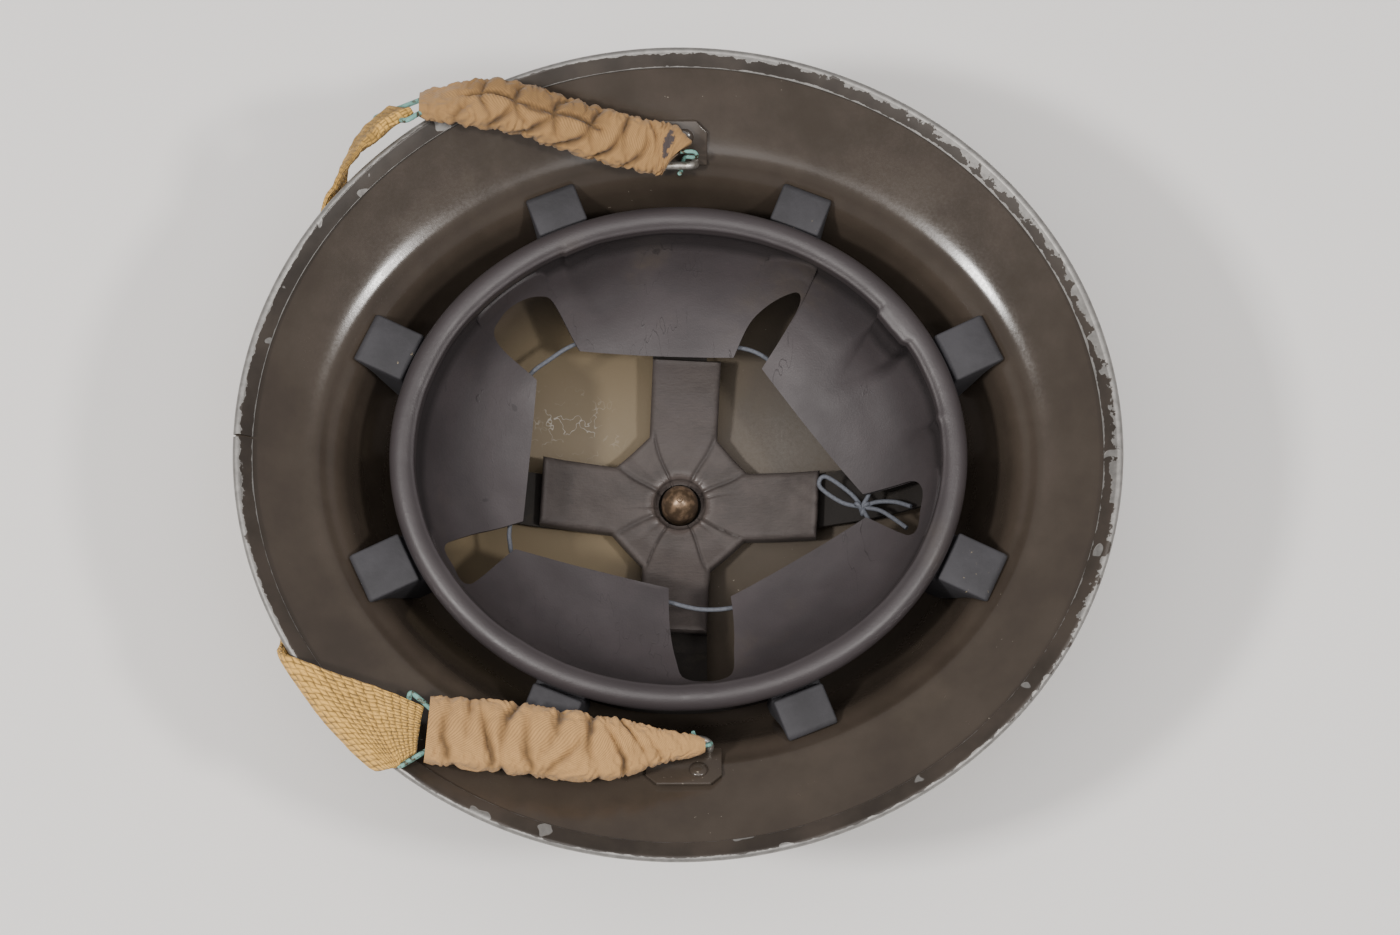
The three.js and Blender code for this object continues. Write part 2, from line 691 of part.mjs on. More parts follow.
// One padded arm of the cross, carried out along the bands.
function padArm(quarter) {
  const { half, thick } = PAD;
  const { edge } = PAD_SOFT;
  const sideLine = [
    [half, 0],
    [half, thick - edge],
    [half - edge, thick],
    [edge - half, thick],
    [-half, thick - edge],
    [-half, 0],
  ];
  const turn = (quarter * Math.PI) / 2;
  const rings = PAD_STATIONS.map((run, n) => sideLine.map(([across, lift]) => {
    const at = new THREE.Vector2(run, across).rotateAround(new THREE.Vector2(), turn);
    const seat = new THREE.Vector2(run, 0).rotateAround(new THREE.Vector2(), turn);
    const soft = n === PAD_STATIONS.length - 1 && lift > 0 ? edge / 2 : 0;
    return vec(at.x, at.y, padSeat(seat.x, seat.y) + lift - soft);
  }));
  return loft(rings);
}

// Gathered middle of the pad: an eight-sided ring round the recess.
function padHub() {
  const { half, chamfer, thick, recess } = PAD;
  const { edge, hub } = PAD_SOFT;
  const count = 16;
  const rings = [];
  for (let i = 0; i < count; i += 1) {
    const angle = (2 * Math.PI * i) / count;
    const [c, s] = [Math.abs(Math.cos(angle)), Math.abs(Math.sin(angle))];
    const outer = Math.min((half + chamfer) / Math.max(c, s), (2 * half + chamfer) / (c + s));
    const at = (radius, lift) => {
      const x = radius * Math.cos(angle);
      const y = radius * Math.sin(angle);
      return vec(x, y, padSeat(x, y) + lift);
    };
    rings.push([
      at(recess, 0),
      at(outer, 0),
      at(outer, thick - edge),
      at(outer - edge, thick),
      at(recess + 2.5, thick + hub),
      at(recess, thick - edge),
    ]);
  }
  return loft(rings, true);
}

const padGeometry = () => joined([padHub(), ...[0, 1, 2, 3].map(padArm)]);

const screwGeometry = () => turned([
  [0, 0],
  [HEAD.flat, 0],
  [HEAD.radius, HEAD.thick * 0.6],
  [HEAD.radius, HEAD.thick],
  [SCREW_RADIUS, HEAD.thick],
  [SCREW_RADIUS, SCREW_TOP],
  [0, SCREW_TOP],
], 16);

function nutGeometry() {
  const seat = CROWN_BAND.hub + CROWN_BAND.thick + GAP;
  const top = seat + NUT.height;
  const dome = [];
  for (let i = 0; i <= 4; i += 1) {
    const angle = (Math.PI / 2) * (i / 4);
    const rise = (NUT.height - NUT.shoulder) * Math.sin(angle);
    dome.push([NUT.radius * Math.cos(angle), seat + NUT.shoulder + rise]);
  }
  return turned([
    [0, SCREW_TOP + GAP],
    [HOLE_RADIUS, SCREW_TOP + GAP],
    [HOLE_RADIUS, seat],
    [NUT.radius, seat],
    ...dome.slice(0, -1),
    [0, top],
  ], 14);
}

// Lugs, rivets and hooks

const lugFrames = Object.fromEntries(LUGS.map(({ side, x, y }) => [side, brimFrame(x, y)]));

function onLug(side, { x, out, lift }) {
  const frame = lugFrames[side];
  return frame.point.clone()
    .addScaledVector(frame.along, x)
    .addScaledVector(frame.out, out)
    .addScaledVector(frame.normal, lift);
}

function rivetTool(side, profile, segments = 8) {
  const frame = lugFrames[side];
  const piece = turned(profile, segments);
  const third = frame.normal.clone().cross(frame.along);
  const base = new THREE.Matrix4().makeBasis(frame.along, third, frame.normal);
  piece.applyMatrix4(base.setPosition(onLug(side, { x: RIVET.x, out: RIVET.out, lift: 0 })));
  return piece;
}

const rivetHole = (side) => rivetTool(side, [
  [0, -6],
  [RIVET.shank + GAP, -6],
  [RIVET.shank + GAP, 6],
  [0, 6],
]);

function rivetGeometry(side) {
  const top = LUG.lift + LUG.thick + GAP;
  const under = -SHEET - GAP;
  const { shank, head, dome } = RIVET;
  return rivetTool(side, [
    [0, under - dome],
    [head * 0.7, under - dome * 0.7],
    [head, under],
    [shank, under],
    [shank, top],
    [head, top],
    [head * 0.7, top + dome * 0.7],
    [0, top + dome],
  ]);
}

function lugGeometry(side) {
  const { half, inner, outer, clip, thick, lift } = LUG;
  const outline = [
    [-half, inner],
    [half, inner],
    [half, outer - clip],
    [half - clip, outer],
    [clip - half, outer],
    [-half, outer - clip],
  ];
  const face = (height) => outline.map(([x, out]) => onLug(side, { x, out, lift: height }));
  const plate = loft([face(lift), face(lift + thick)]);
  const root = lift + thick / 2;
  const bend = 2;
  const bar = [
    { x: -BAR.half, lift: root },
    { x: -BAR.half, lift: BAR.lift - bend },
    { x: -BAR.half + bend, lift: BAR.lift },
    { x: BAR.half - bend, lift: BAR.lift },
    { x: BAR.half, lift: BAR.lift - bend },
    { x: BAR.half, lift: root },
  ].map(({ x, lift: z }) => onLug(side, { x, out: BAR.out, lift: z }));
  const loop = wire(bar, BAR.radius, { sides: 6, steps: 11, tension: 0.3 });
  return cut(joined([plate, loop]), [rivetHole(side)]);
}

const hookGeometry = (side) => wire(
  HOOK_LINE.map((row) => onLug(side, row)),
  HOOK_RADIUS,
  { sides: 5, steps: 13 },
);

// Chin strap

// Centre line, half sizes and width direction of a sleeve at a share of its length.
function sleeveLine(side) {
  const tip = onLug(side, SLEEVE_TIP);
  const first = { ...SLEEVE_TIP_SIZE, x: tip.x, y: tip.y, z: tip.z };
  const rows = [first, ...SLEEVES[side]];
  const centre = new THREE.CatmullRomCurve3(rows.map((row) => vec(row.x, row.y, row.z)));
  const sizes = new THREE.CatmullRomCurve3(rows.map((row) => vec(row.half, row.deep, row.lean / 10)));
  const outward = side === 'left' ? 1 : -1;
  return (share) => {
    const size = sizes.getPoint(share);
    const lean = toRad(size.z * 10);
    const run = centre.getTangent(share);
    const across = vec(0, outward * Math.cos(lean), Math.sin(lean));
    across.addScaledVector(run, -across.dot(run)).normalize();
    const up = run.clone().cross(across).normalize();
    if (up.z < 0) {
      up.negate();
    }
    return { point: centre.getPoint(share), half: size.x, deep: size.y, run, across, up };
  };
}

// Pushes the sine of a round section towards a flattened one.
const squared = (v) => Math.sign(v) * Math.abs(v) ** 0.7;

// Gathered tube open at both ends, as one ring of the wall for each side.
function sleeveGeometry(side) {
  const line = sleeveLine(side);
  const stations = [{ at: 0, depth: 0, slant: 0 }, { at: 0.1, depth: 0, slant: 0 }];
  GATHERS.forEach((gather, n) => {
    const before = n === 0 ? 0.1 : GATHERS[n - 1].at;
    stations.push({ at: (before + gather.at) / 2, depth: -0.35 * gather.depth, slant: gather.slant });
    stations.push(gather);
  });
  stations.push({ at: 1, depth: 0, slant: 0 });
  const rings = [];
  for (let j = 0; j < SLEEVE_SIDES; j += 1) {
    const angle = (2 * Math.PI * j) / SLEEVE_SIDES;
    const sideways = squared(Math.cos(angle));
    const upward = squared(Math.sin(angle));
    const place = (station, wall) => {
      const share = THREE.MathUtils.clamp(station.at + station.slant * sideways, 0, 1);
      const { point, half, deep, across, up } = line(share);
      return point
        .addScaledVector(across, (half - wall - 0.5 * station.depth) * sideways)
        .addScaledVector(up, (deep - wall - station.depth) * upward);
    };
    const outer = stations.map((station) => place(station, 0));
    const inner = stations.map((station) => place(station, SLEEVE_WALL));
    rings.push([...outer, ...inner.reverse()]);
  }
  return loft(rings, true);
}

const webbingEdge = (edge) => new THREE.CatmullRomCurve3(
  WEBBING.map((row) => vec(row[`turn${edge}`] / 100, row[`reach${edge}`], row[`height${edge}`] / 100)),
  false,
  'catmullrom',
  0.5,
);
const webbingEdges = { A: webbingEdge('A'), B: webbingEdge('B') };

// Middle of the webbing's thickness at a share of its length and of its width.
function onWebbing(along, across) {
  const row = webbingEdges.A.getPoint(along).lerp(webbingEdges.B.getPoint(along), across);
  const angle = toRad(row.x * 100);
  return vec(
    (RIM_LENGTH / 2) * row.y * Math.cos(angle),
    (RIM_WIDTH / 2) * row.y * Math.sin(angle),
    row.z * 100,
  );
}

function webbingNormal(along, across) {
  const step = 0.004;
  const behind = onWebbing(Math.max(along - step, 0), across);
  const run = onWebbing(Math.min(along + step, 1), across).sub(behind);
  const inside = onWebbing(along, Math.max(across - step, 0));
  const side = onWebbing(along, Math.min(across + step, 1)).sub(inside);
  return run.cross(side).normalize();
}

function webbingGeometry() {
  const shares = [0, 1 / 3, 2 / 3, 1];
  const hemSteps = 2;
  const clipped = [0.14, 0.05]; // share of the width lost at each edge, from the end inwards
  const rings = [];
  for (let i = 0; i <= WEBBING_STEPS; i += 1) {
    const along = i / WEBBING_STEPS;
    const fromEnd = Math.min(i, WEBBING_STEPS - i);
    const thick = fromEnd <= hemSteps ? WEBBING_HEM : WEBBING_THICK;
    const lost = clipped[fromEnd] ?? 0;
    const face = (side) => shares.map((share) => {
      const across = THREE.MathUtils.lerp(lost, 1 - lost, share);
      return onWebbing(along, across).addScaledVector(webbingNormal(along, across), (side * thick) / 2);
    });
    rings.push([...face(1), ...face(-1).reverse()]);
  }
  const bores = ['left', 'right'].map((side) => {
    const { near } = linkCorners(side);
    const run = near[1].clone().sub(near[0]).normalize().multiplyScalar(6);
    return wire(
      [near[0].clone().sub(run), near[1].clone().add(run)],
      LINK_RADIUS + 0.5,
      { sides: 8, steps: 1 },
    );
  });
  return cut(loft(rings), bores);
}

// Corners of a wire link: the near bar runs in the webbing's hem, the far bar in the sleeve's mouth.
function linkCorners(side) {
  const end = side === 'right' ? 0 : 1;
  const step = end === 0 ? 0.02 : -0.02;
  const run = onWebbing(end, 0.5).sub(onWebbing(end + step, 0.5)).normalize();
  const edges = [onWebbing(end, 0), onWebbing(end, 1)];
  const across = edges[1].clone().sub(edges[0]).normalize();
  const clear = LINK_RADIUS + 1.5;
  const near = [
    edges[0].clone().addScaledVector(across, -clear).addScaledVector(run, -LINK.inset),
    edges[1].clone().addScaledVector(across, clear).addScaledVector(run, -LINK.inset),
  ];
  const mouth = sleeveLine(side)(1);
  const reach = mouth.half - SLEEVE_WALL - LINK_RADIUS - LINK.clear;
  const deep = mouth.point.clone().addScaledVector(mouth.run, -LINK.depth);
  const turn = Math.sign(mouth.across.dot(across));
  const far = [
    deep.clone().addScaledVector(mouth.across, -turn * reach),
    deep.clone().addScaledVector(mouth.across, turn * reach),
  ];
  return { near, far };
}

function linkGeometry(side) {
  const { near, far } = linkCorners(side);
  const corners = [near[0], near[1], far[1], far[0]];
  const points = [];
  corners.forEach((corner, n) => {
    const before = corners[(n + 3) % 4].clone().sub(corner).normalize();
    const after = corners[(n + 1) % 4].clone().sub(corner).normalize();
    points.push(corner.clone().addScaledVector(before, 1.2));
    points.push(corner.clone().addScaledVector(after, 1.2));
  });
  return bentLoop(points, LINK_RADIUS, 6);
}

// Lace

function laceGeometry() {
  const knot = vec(KNOT.x, KNOT.y, KNOT.z);
  const under = CLOTH + GAP + LACE_RADIUS + 0.3;
  const route = [];
  TONGUES.forEach((tongue) => {
    for (const share of [0.06, 0.35, 0.65, 0.94]) {
      const turn = THREE.MathUtils.lerp(tongue.from, tongue.to, share);
      const inset = tipShare(tongue, turn) + LACE_INSET / bandRadius(turn);
      const at = bowlPoint(turn, inset, under);
      route.push(polar(turn, at.radius, at.z));
    }
  });
  const ring = wire([knot, ...route, knot], LACE_RADIUS, { sides: 5, steps: 46 });
  const bows = LACE_BOWS.map((bow, n) => {
    const points = bow.map(({ x, y, z }) => vec(x, y, z));
    const ends = n === 0 ? [knot, ...points, knot] : [knot, ...points];
    return wire(ends, LACE_RADIUS, { sides: 5, steps: n === 0 ? 10 : 5 });
  });
  const ball = new THREE.SphereGeometry(KNOT.size, 8, 6);
  ball.translate(KNOT.x, KNOT.y, KNOT.z);
  return joined([ring, ...bows, facingOut(dropFlat(welded(ball)))]);
}

// Materials and assembly

const FINISHES = {
  paint: { color: 0x4b3e32, roughness: 0.42, metalness: 0.1 },
  rim: { color: 0x6f6a60, roughness: 0.38, metalness: 0.75 },
  bronze: { color: 0x64503c, roughness: 0.4, metalness: 0.8 },
  verdigris: { color: 0x78aaa0, roughness: 0.75, metalness: 0.3 },
  oilcloth: { color: 0x464141, roughness: 0.5, metalness: 0 },
  fibre: { color: 0x4a3b2c, roughness: 0.8, metalness: 0 },
  felt: { color: 0x5a5048, roughness: 0.85, metalness: 0 },
  rubber: { color: 0x4b4b50, roughness: 0.75, metalness: 0 },
  sleeve: { color: 0xbe9669, roughness: 0.9, metalness: 0 },
  webbing: { color: 0xc8a05a, roughness: 0.95, metalness: 0 },
  lace: { color: 0x787882, roughness: 0.85, metalness: 0 },
};

const helmet = new THREE.Group();

function add(name, geometry, finish) {
  const mesh = new THREE.Mesh(welded(geometry), new THREE.MeshStandardMaterial(FINISHES[finish]));
  mesh.name = name;
  helmet.add(mesh);
  return mesh;
}

const sides = LUGS.map(({ side }) => side);
add('shell', cut(shellGeometry(), sides.map(rivetHole)), 'paint');
add('rim', rimGeometry(), 'rim');
add('headband', headbandGeometry(), 'fibre');
add('lining', liningGeometry(), 'oilcloth');
BUFFER_TURNS.forEach((turn, n) => add(`buffer_${n + 1}`, bufferGeometry(turn), 'rubber'));
add('lace', laceGeometry(), 'lace');
add('crown_screw', screwGeometry(), 'paint');
add('crown_bands', crownBandsGeometry(), 'fibre');
add('crown_pad', padGeometry(), 'felt').rotation.z = toRad(PAD.turn);
add('crown_nut', nutGeometry(), 'bronze');
for (const side of sides) {
  add(`lug_${side}`, lugGeometry(side), 'paint');
  add(`lug_rivet_${side}`, rivetGeometry(side), 'paint');
  add(`strap_hook_${side}`, hookGeometry(side), 'verdigris');
  add(`strap_sleeve_${side}`, sleeveGeometry(side), 'sleeve');
  add(`strap_link_${side}`, linkGeometry(side), 'verdigris');
}
add('strap_webbing', webbingGeometry(), 'webbing');

export default helmet;
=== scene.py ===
"""Looks of a shallow pressed-steel combat helmet that lies on its crown, hollow side up."""
import math

import bpy
import numpy as np
from bpy.props import FloatProperty, FloatVectorProperty, IntProperty, PointerProperty
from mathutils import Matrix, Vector, noise


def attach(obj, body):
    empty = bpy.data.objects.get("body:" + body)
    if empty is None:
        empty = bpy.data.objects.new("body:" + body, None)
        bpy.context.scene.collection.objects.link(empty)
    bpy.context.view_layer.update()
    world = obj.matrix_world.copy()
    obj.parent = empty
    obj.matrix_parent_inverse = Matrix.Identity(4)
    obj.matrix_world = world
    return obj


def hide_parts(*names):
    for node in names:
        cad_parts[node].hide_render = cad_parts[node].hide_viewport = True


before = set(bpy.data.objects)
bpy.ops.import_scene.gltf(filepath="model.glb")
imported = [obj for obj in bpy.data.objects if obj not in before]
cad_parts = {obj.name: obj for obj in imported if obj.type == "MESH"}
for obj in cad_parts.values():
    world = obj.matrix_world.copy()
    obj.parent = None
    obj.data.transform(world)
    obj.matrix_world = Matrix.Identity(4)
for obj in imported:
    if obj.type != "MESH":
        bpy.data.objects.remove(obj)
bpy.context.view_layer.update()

bl_info = {
    "name": "Steel Combat Helmet",
    "version": (1, 0, 0),
    "blender": (4, 5, 0),
    "location": "View3D > Sidebar > Helmet",
    "description": "Dresses a packed helmet model with paint, cloth, rubber and cord",
    "category": "Add Mesh",
}

MM = 0.001
BODY = "root"
FULL_TURN = 2 * math.pi

# Shape of the helmet in millimetres, as in the solid model
RIM = {"length": 152.5, "width": 143.5}
SHELL_ROWS = np.array([  # half length, half width, height of the inner face
    (3.3, 3.3, 2.35), (23, 20, 4.3), (46, 39.6, 10.4), (67, 57.6, 20.6), (85.5, 73.4, 34.4),
    (100, 86, 51.5), (109.5, 94, 68), (114.8, 98.6, 80.5), (118, 101.6, 86.2), (123.2, 106.4, 90.4),
    (130.2, 113.6, 95), (140, 127, 102.7), (151, 142, 111.95)])
LAST_ROW = len(SHELL_ROWS) - 1
BEND_ROWS = (7, 11)  # where the wall of the dome turns into the brim
CREASE_ROW = 9.55
CREASE_SPREAD = 0.42
SHEET = 1.0
BAND = {"length": 95.9, "width": 85.3, "top": 93.6, "bottom": 62.0, "half": 0.8}
ROLL = 4.6
ROLL_ARC = (-34.0, 198.0)  # from the skirt over the top into the bowl, in degrees
CLOTH = 1.4
CLEAR = 0.3  # gap between neighbouring pieces
SKIRT = 87.0
BOWL = np.array([  # share of the band's radius, and height of the cloth there
    (0.45, 47), (0.6, 51.5), (0.74, 58), (0.86, 67.5), (0.925, 78), (0.952, 88)])
BOWL_TOP = BOWL[-1, 0]
TONGUES = [  # turns of the corners and of the roots, the way the tip faces, and its reach
    (-4.7, 54.6, -0.6, 54.8, 37, 49.4), (67.1, 127, 66.9, 124.2, 88.5, 46.9),
    (144.4, 194.6, 144.9, 195, 175, 54.6), (203.5, 264.4, 211, 264.8, 257, 38),
    (294, 348, 293.6, 342, 299.5, 45.3)]
CUTS = [  # turns and shares along the edge of the cut that follows each tongue
    ([55.2, 56.6, 59.6, 63.6, 66.2], [0.862, 0.884, 0.86, 0.795, 0.72]),
    ([126.2, 128.4, 133.5, 139.5, 143.8], [0.88, 0.905, 0.922, 0.919, 0.89]),
    ([195.6, 196.6, 198.9, 204.5, 209.8], [0.7, 0.82, 0.912, 0.922, 0.916]),
    ([266.7, 269.3, 271.2, 283.8, 287.6, 291.8], [0.64, 0.79, 0.868, 0.882, 0.75, 0.6]),
    ([343.6, 350, 355.6, 357.6], [0.903, 0.908, 0.897, 0.865])]
PLEATS = np.array([  # turn, and how far the top of the bowl is drawn in (or tucked under the roll)
    (0, 0), (6.5, 0), (8.4, 1.4), (9.4, -1.0), (13, -1.5), (26.2, -1.9), (26.9, 2.8), (31, 3.8), (35.9, 3.2),
    (36.6, -2.0), (50, -1.6), (62, -0.7), (66, 0), (111, 0), (119, 1.7), (119.6, -0.4), (124, 0), (360, 0)])
PLEAT_LIP = 0.3
SEAM = {"turn": 274.5, "half": 3.0, "lift": 0.5}
RIDGE = {"at": 146.0, "wander": 9.0, "spread": 9.0, "height": 0.4}  # worn line round the roll, in degrees
# Painted shade: the roll is darkened over these degrees where it curls into the bowl.
ROLL_SHADE = 16.0  # degrees over which the roll darkens into the bowl
# Groove under the roll, dented and painted with shade.
GROOVE = {"at": 0.015, "spread": 0.02}  # under the roll, in shares of the way down a tongue
BUFFER_TURNS = (20.5, 63.5, 116.5, 159.5, 200.5, 243.5, 296.5, 339.5)
BUFFER = {"half": 9.25, "bottom": 62.0, "top": 92.0, "shelf": 86.2, "inner": 1.1, "under_roll": 5.5,
          "lean": 0.6, "corner": 1.6, "round": 0.9, "clear": 1.5, "taper": 0.02, "sway": 0.25}
BUFFER_FACE = (63.6, 75, 82, 86.5, 90.4)  # heights at which the outer face follows the shell
CROWN = {"hub": 4.0, "thick": 1.5, "length": 92.8, "side": 83.0}
CROWN_LINE = np.array([  # share of the way out, and rise of the crown bands there
    (0, 0), (0.12, 0.25), (0.3, 4.2), (0.52, 13), (0.74, 28.5), (0.91, 47), (0.985, 60), (1, 71)])
CROWN_SEAT = CROWN["hub"] + CROWN["thick"] + CLEAR
PAD = {"arm": 51.0, "half": 12.6, "chamfer": 12.0, "thick": 7.4, "turn": -3.0, "recess": 9.4, "soft": 2.6,
       "slope": 0.024}
PAD_HUB = PAD["half"] + PAD["chamfer"]
SHOULDER_CREASES = (0.04, -0.05, 0.02, -0.03)  # turns past the shoulders of each arm, in radians
LOOSE_CREASES = (0.9, 2.15, 3.95, 5.6, 0.25, 3.3)
CREASE = {"end": 28.5, "fade": 3.0, "loose_end": 26.4, "depth": 0.8}
NUT = {"radius": 6.8, "wall": 8.0, "bore": 3.3, "depth": 12.3}
LATHE_STEPS = 48
SCREW_OUTLINE = [(0, 0), (6.6, 0), (7.5, 0.25), (8, 0.63), (8, 1.05), (3, 1.05), (3, 12), (0, 12)]
LUGS = {"left": (-3.0, 113.0), "right": (2.0, -109.0)}
LUG = {"half": 13.0, "inner": -7.0, "outer": 9.0, "clip": 4.0, "thick": 1.2, "lift": 1.05}
LUG_ROUND = 0.35
BAR = {"half": 8.6, "radius": 1.5, "out": -6.0, "lift": 7.0, "bend": 2.0}
RIVET = {"x": 5.0, "out": 3.0, "head": 3.2, "dome": 1.3}
HOOK_LINE = [(3.5, -0.2, 11), (8.4, -0.3, 11), (9.2, -2.4, 9.6), (5.2, -3.1, 6.6), (4.2, -6.0, 4.3),
             (3.6, -8.7, 6.4), (3.2, -8.6, 8.2)]
HOOK_RADIUS = 0.7
SLEEVE_TIP = (7.2, -0.2, 11)
SLEEVE_TIP_SIZE = (4.4, 3.0, 6.0)  # half width, half depth, lean of the width
SLEEVE_ROWS = {  # x, y, z, half width, half depth, lean of the width
    "left": [(-10, 108.6, 105, 9.2, 3.6, 14), (-32, 113.2, 109.4, 9.2, 4.4, 14),
             (-61, 119.8, 117.8, 9.4, 4.4, 0), (-89, 119.8, 119.6, 11.6, 3.8, -50)],
    "right": [(-8, -103.4, 103, 8.8, 3.8, 12), (-27, -104, 104.2, 12.6, 4.6, 16),
              (-56, -101, 106.6, 13.4, 4.8, 20), (-83, -98.6, 109.6, 12.6, 4.1, 25)]}
GATHERS = {  # share from the tip, depth, slant and bow of each valley
    "left": [
        (0.23, 0.7, 0.03, 0.03), (0.295, 1.1, -0.02, 0.05), (0.35, 1.2, 0.03, -0.04),
        (0.405, 1.4, -0.02, 0.05), (0.47, 1.5, 0.02, -0.05), (0.52, 1.5, -0.03, 0.06),
        (0.585, 1.6, 0.02, -0.05), (0.64, 1.5, -0.02, 0.05), (0.695, 1.5, 0.03, -0.05),
        (0.745, 1.3, -0.02, 0.05), (0.80, 1.2, 0.02, -0.04), (0.87, 0.9, -0.02, 0.02)],
    "right": [
        (0.26, 0.7, -0.05, 0.02), (0.33, 1.2, -0.06, 0.02), (0.43, 1.6, -0.05, 0.025),
        (0.52, 1.9, -0.01, -0.02), (0.57, 1.0, 0.06, 0.03), (0.645, 1.4, 0.03, 0.02),
        (0.70, 1.2, -0.01, -0.02), (0.765, 1.8, 0.015, -0.02), (0.83, 1.5, -0.03, 0.0),
        (0.895, 0.9, 0.02, 0.02), (0.945, 1.2, 0.0, -0.015)]}
GATHER_DEPTH = {"left": 1.55, "right": 1.15}
GATHER_WIDTH = 0.0115
GATHER_WANDER = ((0.010, 7.0, 1.0), (0.005, 3.0, 8.0))
SLEEVE_CALM = {"tip": 0.12, "mouth": 0.02}
CRINKLE = {"along": 2.3, "across": 5.5, "large": 0.42, "small": 0.22}
RUFFLE = {"count": 19, "slant": 2.5, "wander": 900, "height": 0.45}
PUFF = {"height": 0.5, "between": 0.8, "from": 0.15}
TUCK = {  # along the left sleeve
    "depth": 1.9, "width": 0.11, "start": 0.42, "end": 0.9, "fade": 0.06, "set_back": 0.9}
SLEEVE_TAPER = {  # shares from the tip, and the width there over that of the solid
    "left": ([0, 0.07, 0.1, 0.22, 0.8, 1], [0.86, 1.22, 1.25, 1.0, 1.0, 0.72]),
    "right": ([0, 0.03, 0.08, 0.12, 0.18, 0.29, 0.39, 0.55, 0.82, 1],
              [0.5, 0.66, 0.68, 0.65, 0.65, 0.8, 0.89, 0.93, 0.98, 1.0])}
SLEEVE_WALL = 1.2
SLEEVE_MOUTH = 1.2  # how far the open end reaches past the solid
LEFT_TIP_CUT = 7.0  # how far the inner corner of the left tip is set back
LEFT_MOUTH_LEAN = 3.2  # how far the outer corner of the left mouth is drawn in
# The left sleeve is painted as a darker, shaded copy of the same cloth.
SLEEVE_SHADE_TINT = {"left": 0.76, "right": 1.0}
SLEEVE_STAIN = {"left": 0.9, "right": 0.0}
SLEEVE_THREADS = {"round": 56.0, "along": 160.0}  # millimetres of cloth that the weave is laid out on
WEBBING_ROWS = np.array([  # turn, share and height of each edge
    (226.3, 0.84, 105.2, 232.3, 0.972, 114.6), (219.5, 0.905, 110, 232, 0.99, 116.2),
    (212.3, 0.987, 115.6, 231.3, 1.006, 116.2), (209.8, 1.016, 112, 229.5, 1.026, 112),
    (207.3, 0.995, 105, 226, 0.992, 103), (199, 0.965, 97.5, 217.5, 0.915, 90.5),
    (191, 0.905, 91.5, 204, 0.835, 76), (180, 0.852, 88, 181, 0.758, 62),
    (166, 0.895, 91, 163, 0.825, 66.5), (156, 0.945, 95.5, 153, 0.888, 73),
    (148, 0.988, 101, 146.5, 0.945, 77.5), (141, 1.02, 110, 140.5, 1.015, 85.5),
    (135, 1.018, 120.5, 135.3, 1.072, 97), (127.9, 0.992, 127, 129.3, 1.082, 107)])
WEBBING_NARROWED = ([0, 1 / 30, 2 / 30], [0.14, 0.05, 0.0])
WEBBING_THICKNESS = ([0, 0.006, 0.06, 0.075], [3.0, 4.2, 4.0, 2.0])
WEBBING = {"width": 28.0, "hem": 3.2, "crumpled_from": 0.8}
LINK = {"radius": 0.9, "inset": 2.4, "depth": 1.4, "clear": 3.8, "gap": 1.5, "bend": 2.0}
LACE = {"radius": 1.0, "inset": 3.6, "slack": 2.4, "sag": 1.2, "drawn": 0.82}
KNOT = (66, -9.2, 50.5)
LACE_BOWS = [
    [(61.5, -3.2, 48), (53, 3.6, 44), (51, 0, 43.4), (58.5, -6.4, 46.6), KNOT],
    [(72, -10.5, 51.5), (77, -14, 53.5), (81.5, -18, 56)],
    [(71, -7.5, 51.5), (77.5, -8, 54), (83, -10.5, 58)]]
STRIP = [(-6, 0.3), (-6, 0.7), (-5.75, 1.0), (-4.5, 1.02), (-3, 1.03), (-1.6, 1.02), (-0.6, 1.0)]
STRIP_BACK = [(-1.5, -2.0), (-3.5, -2.0), (-5.75, -2.0), (-6, -1.75), (-6, -1.3), (0.3, -1.3), (0.3, 0.3)]
STRIP_FOLD = {"middle": -0.5, "radius": 1.5, "steps": 9}
STRIP_JOINT = {"turn": 179.0, "gap": 0.4}
STRIP_DENTS = [(30.0, 0.0, 0.12), (9.0, 5.0, 0.07)]  # lump size, seed and depth
# The inner lip is bare steel: worn paint, and a painted highlight for the glint along that edge.
STRIP_PAINT = {"edge": 0.4, "lip": 6.3, "hidden": -9.0, "ragged": 0.1}
BARE_STEEL = [  # turn, spread in degrees and width of the paint lost from the strip
    (38, 34, 2.6), (168, 34, 1.2), (85, 25, 1.1), (0, 22, 1.6), (360, 22, 1.6)]
RAGGED_EDGE = [  # turn, spread in degrees and raggedness of the paint's edge
    (38, 42, 1.0), (0, 30, 1.0), (360, 30, 1.0), (185, 20, 0.4)]
DENTS = [(55.0, 0.0, 0.7), (22.0, 7.0, 0.3)]  # lump size, seed and share
# Painted light low in the dome: its height, fade and the turn of its lit side.
DOME_LIGHT = {"height": 50.0, "fade": 18.0, "turn": 160.0}
DULL = {"height": 64.0, "fade": 24.0}
SCUFF = {"x": -42.0, "long": 13.0, "y": 30.0, "wide": 9.0}

# Stage, in metres
FLOOR = {"half": 6.0, "drop": 0.0003}
ROOM = {"colour": (1.0, 0.97, 0.98, 1), "strength": 0.40}
LIGHT_AIM = (0.0, 0.0, 0.08)
LIGHTS = [  # name, direction from the aim, distance, size, power and colour
    ("left_window", (-0.508, -0.184, 0.8415), 1.7, 0.18, 19.0, (1.0, 0.97, 0.94)),
    ("right_window", (0.491, -0.194, 0.849), 1.7, 0.16, 13.0, (1.0, 0.97, 0.94)),
    ("ceiling", (-0.05, -0.10, 1.0), 1.9, 1.5, 17.0, (1.0, 0.97, 0.96))]
CAMERA = {"aim": (0.0075, -0.009, 0.113), "rise": 76.94, "sensor": 36.0, "near": 0.01, "far": 50.0}

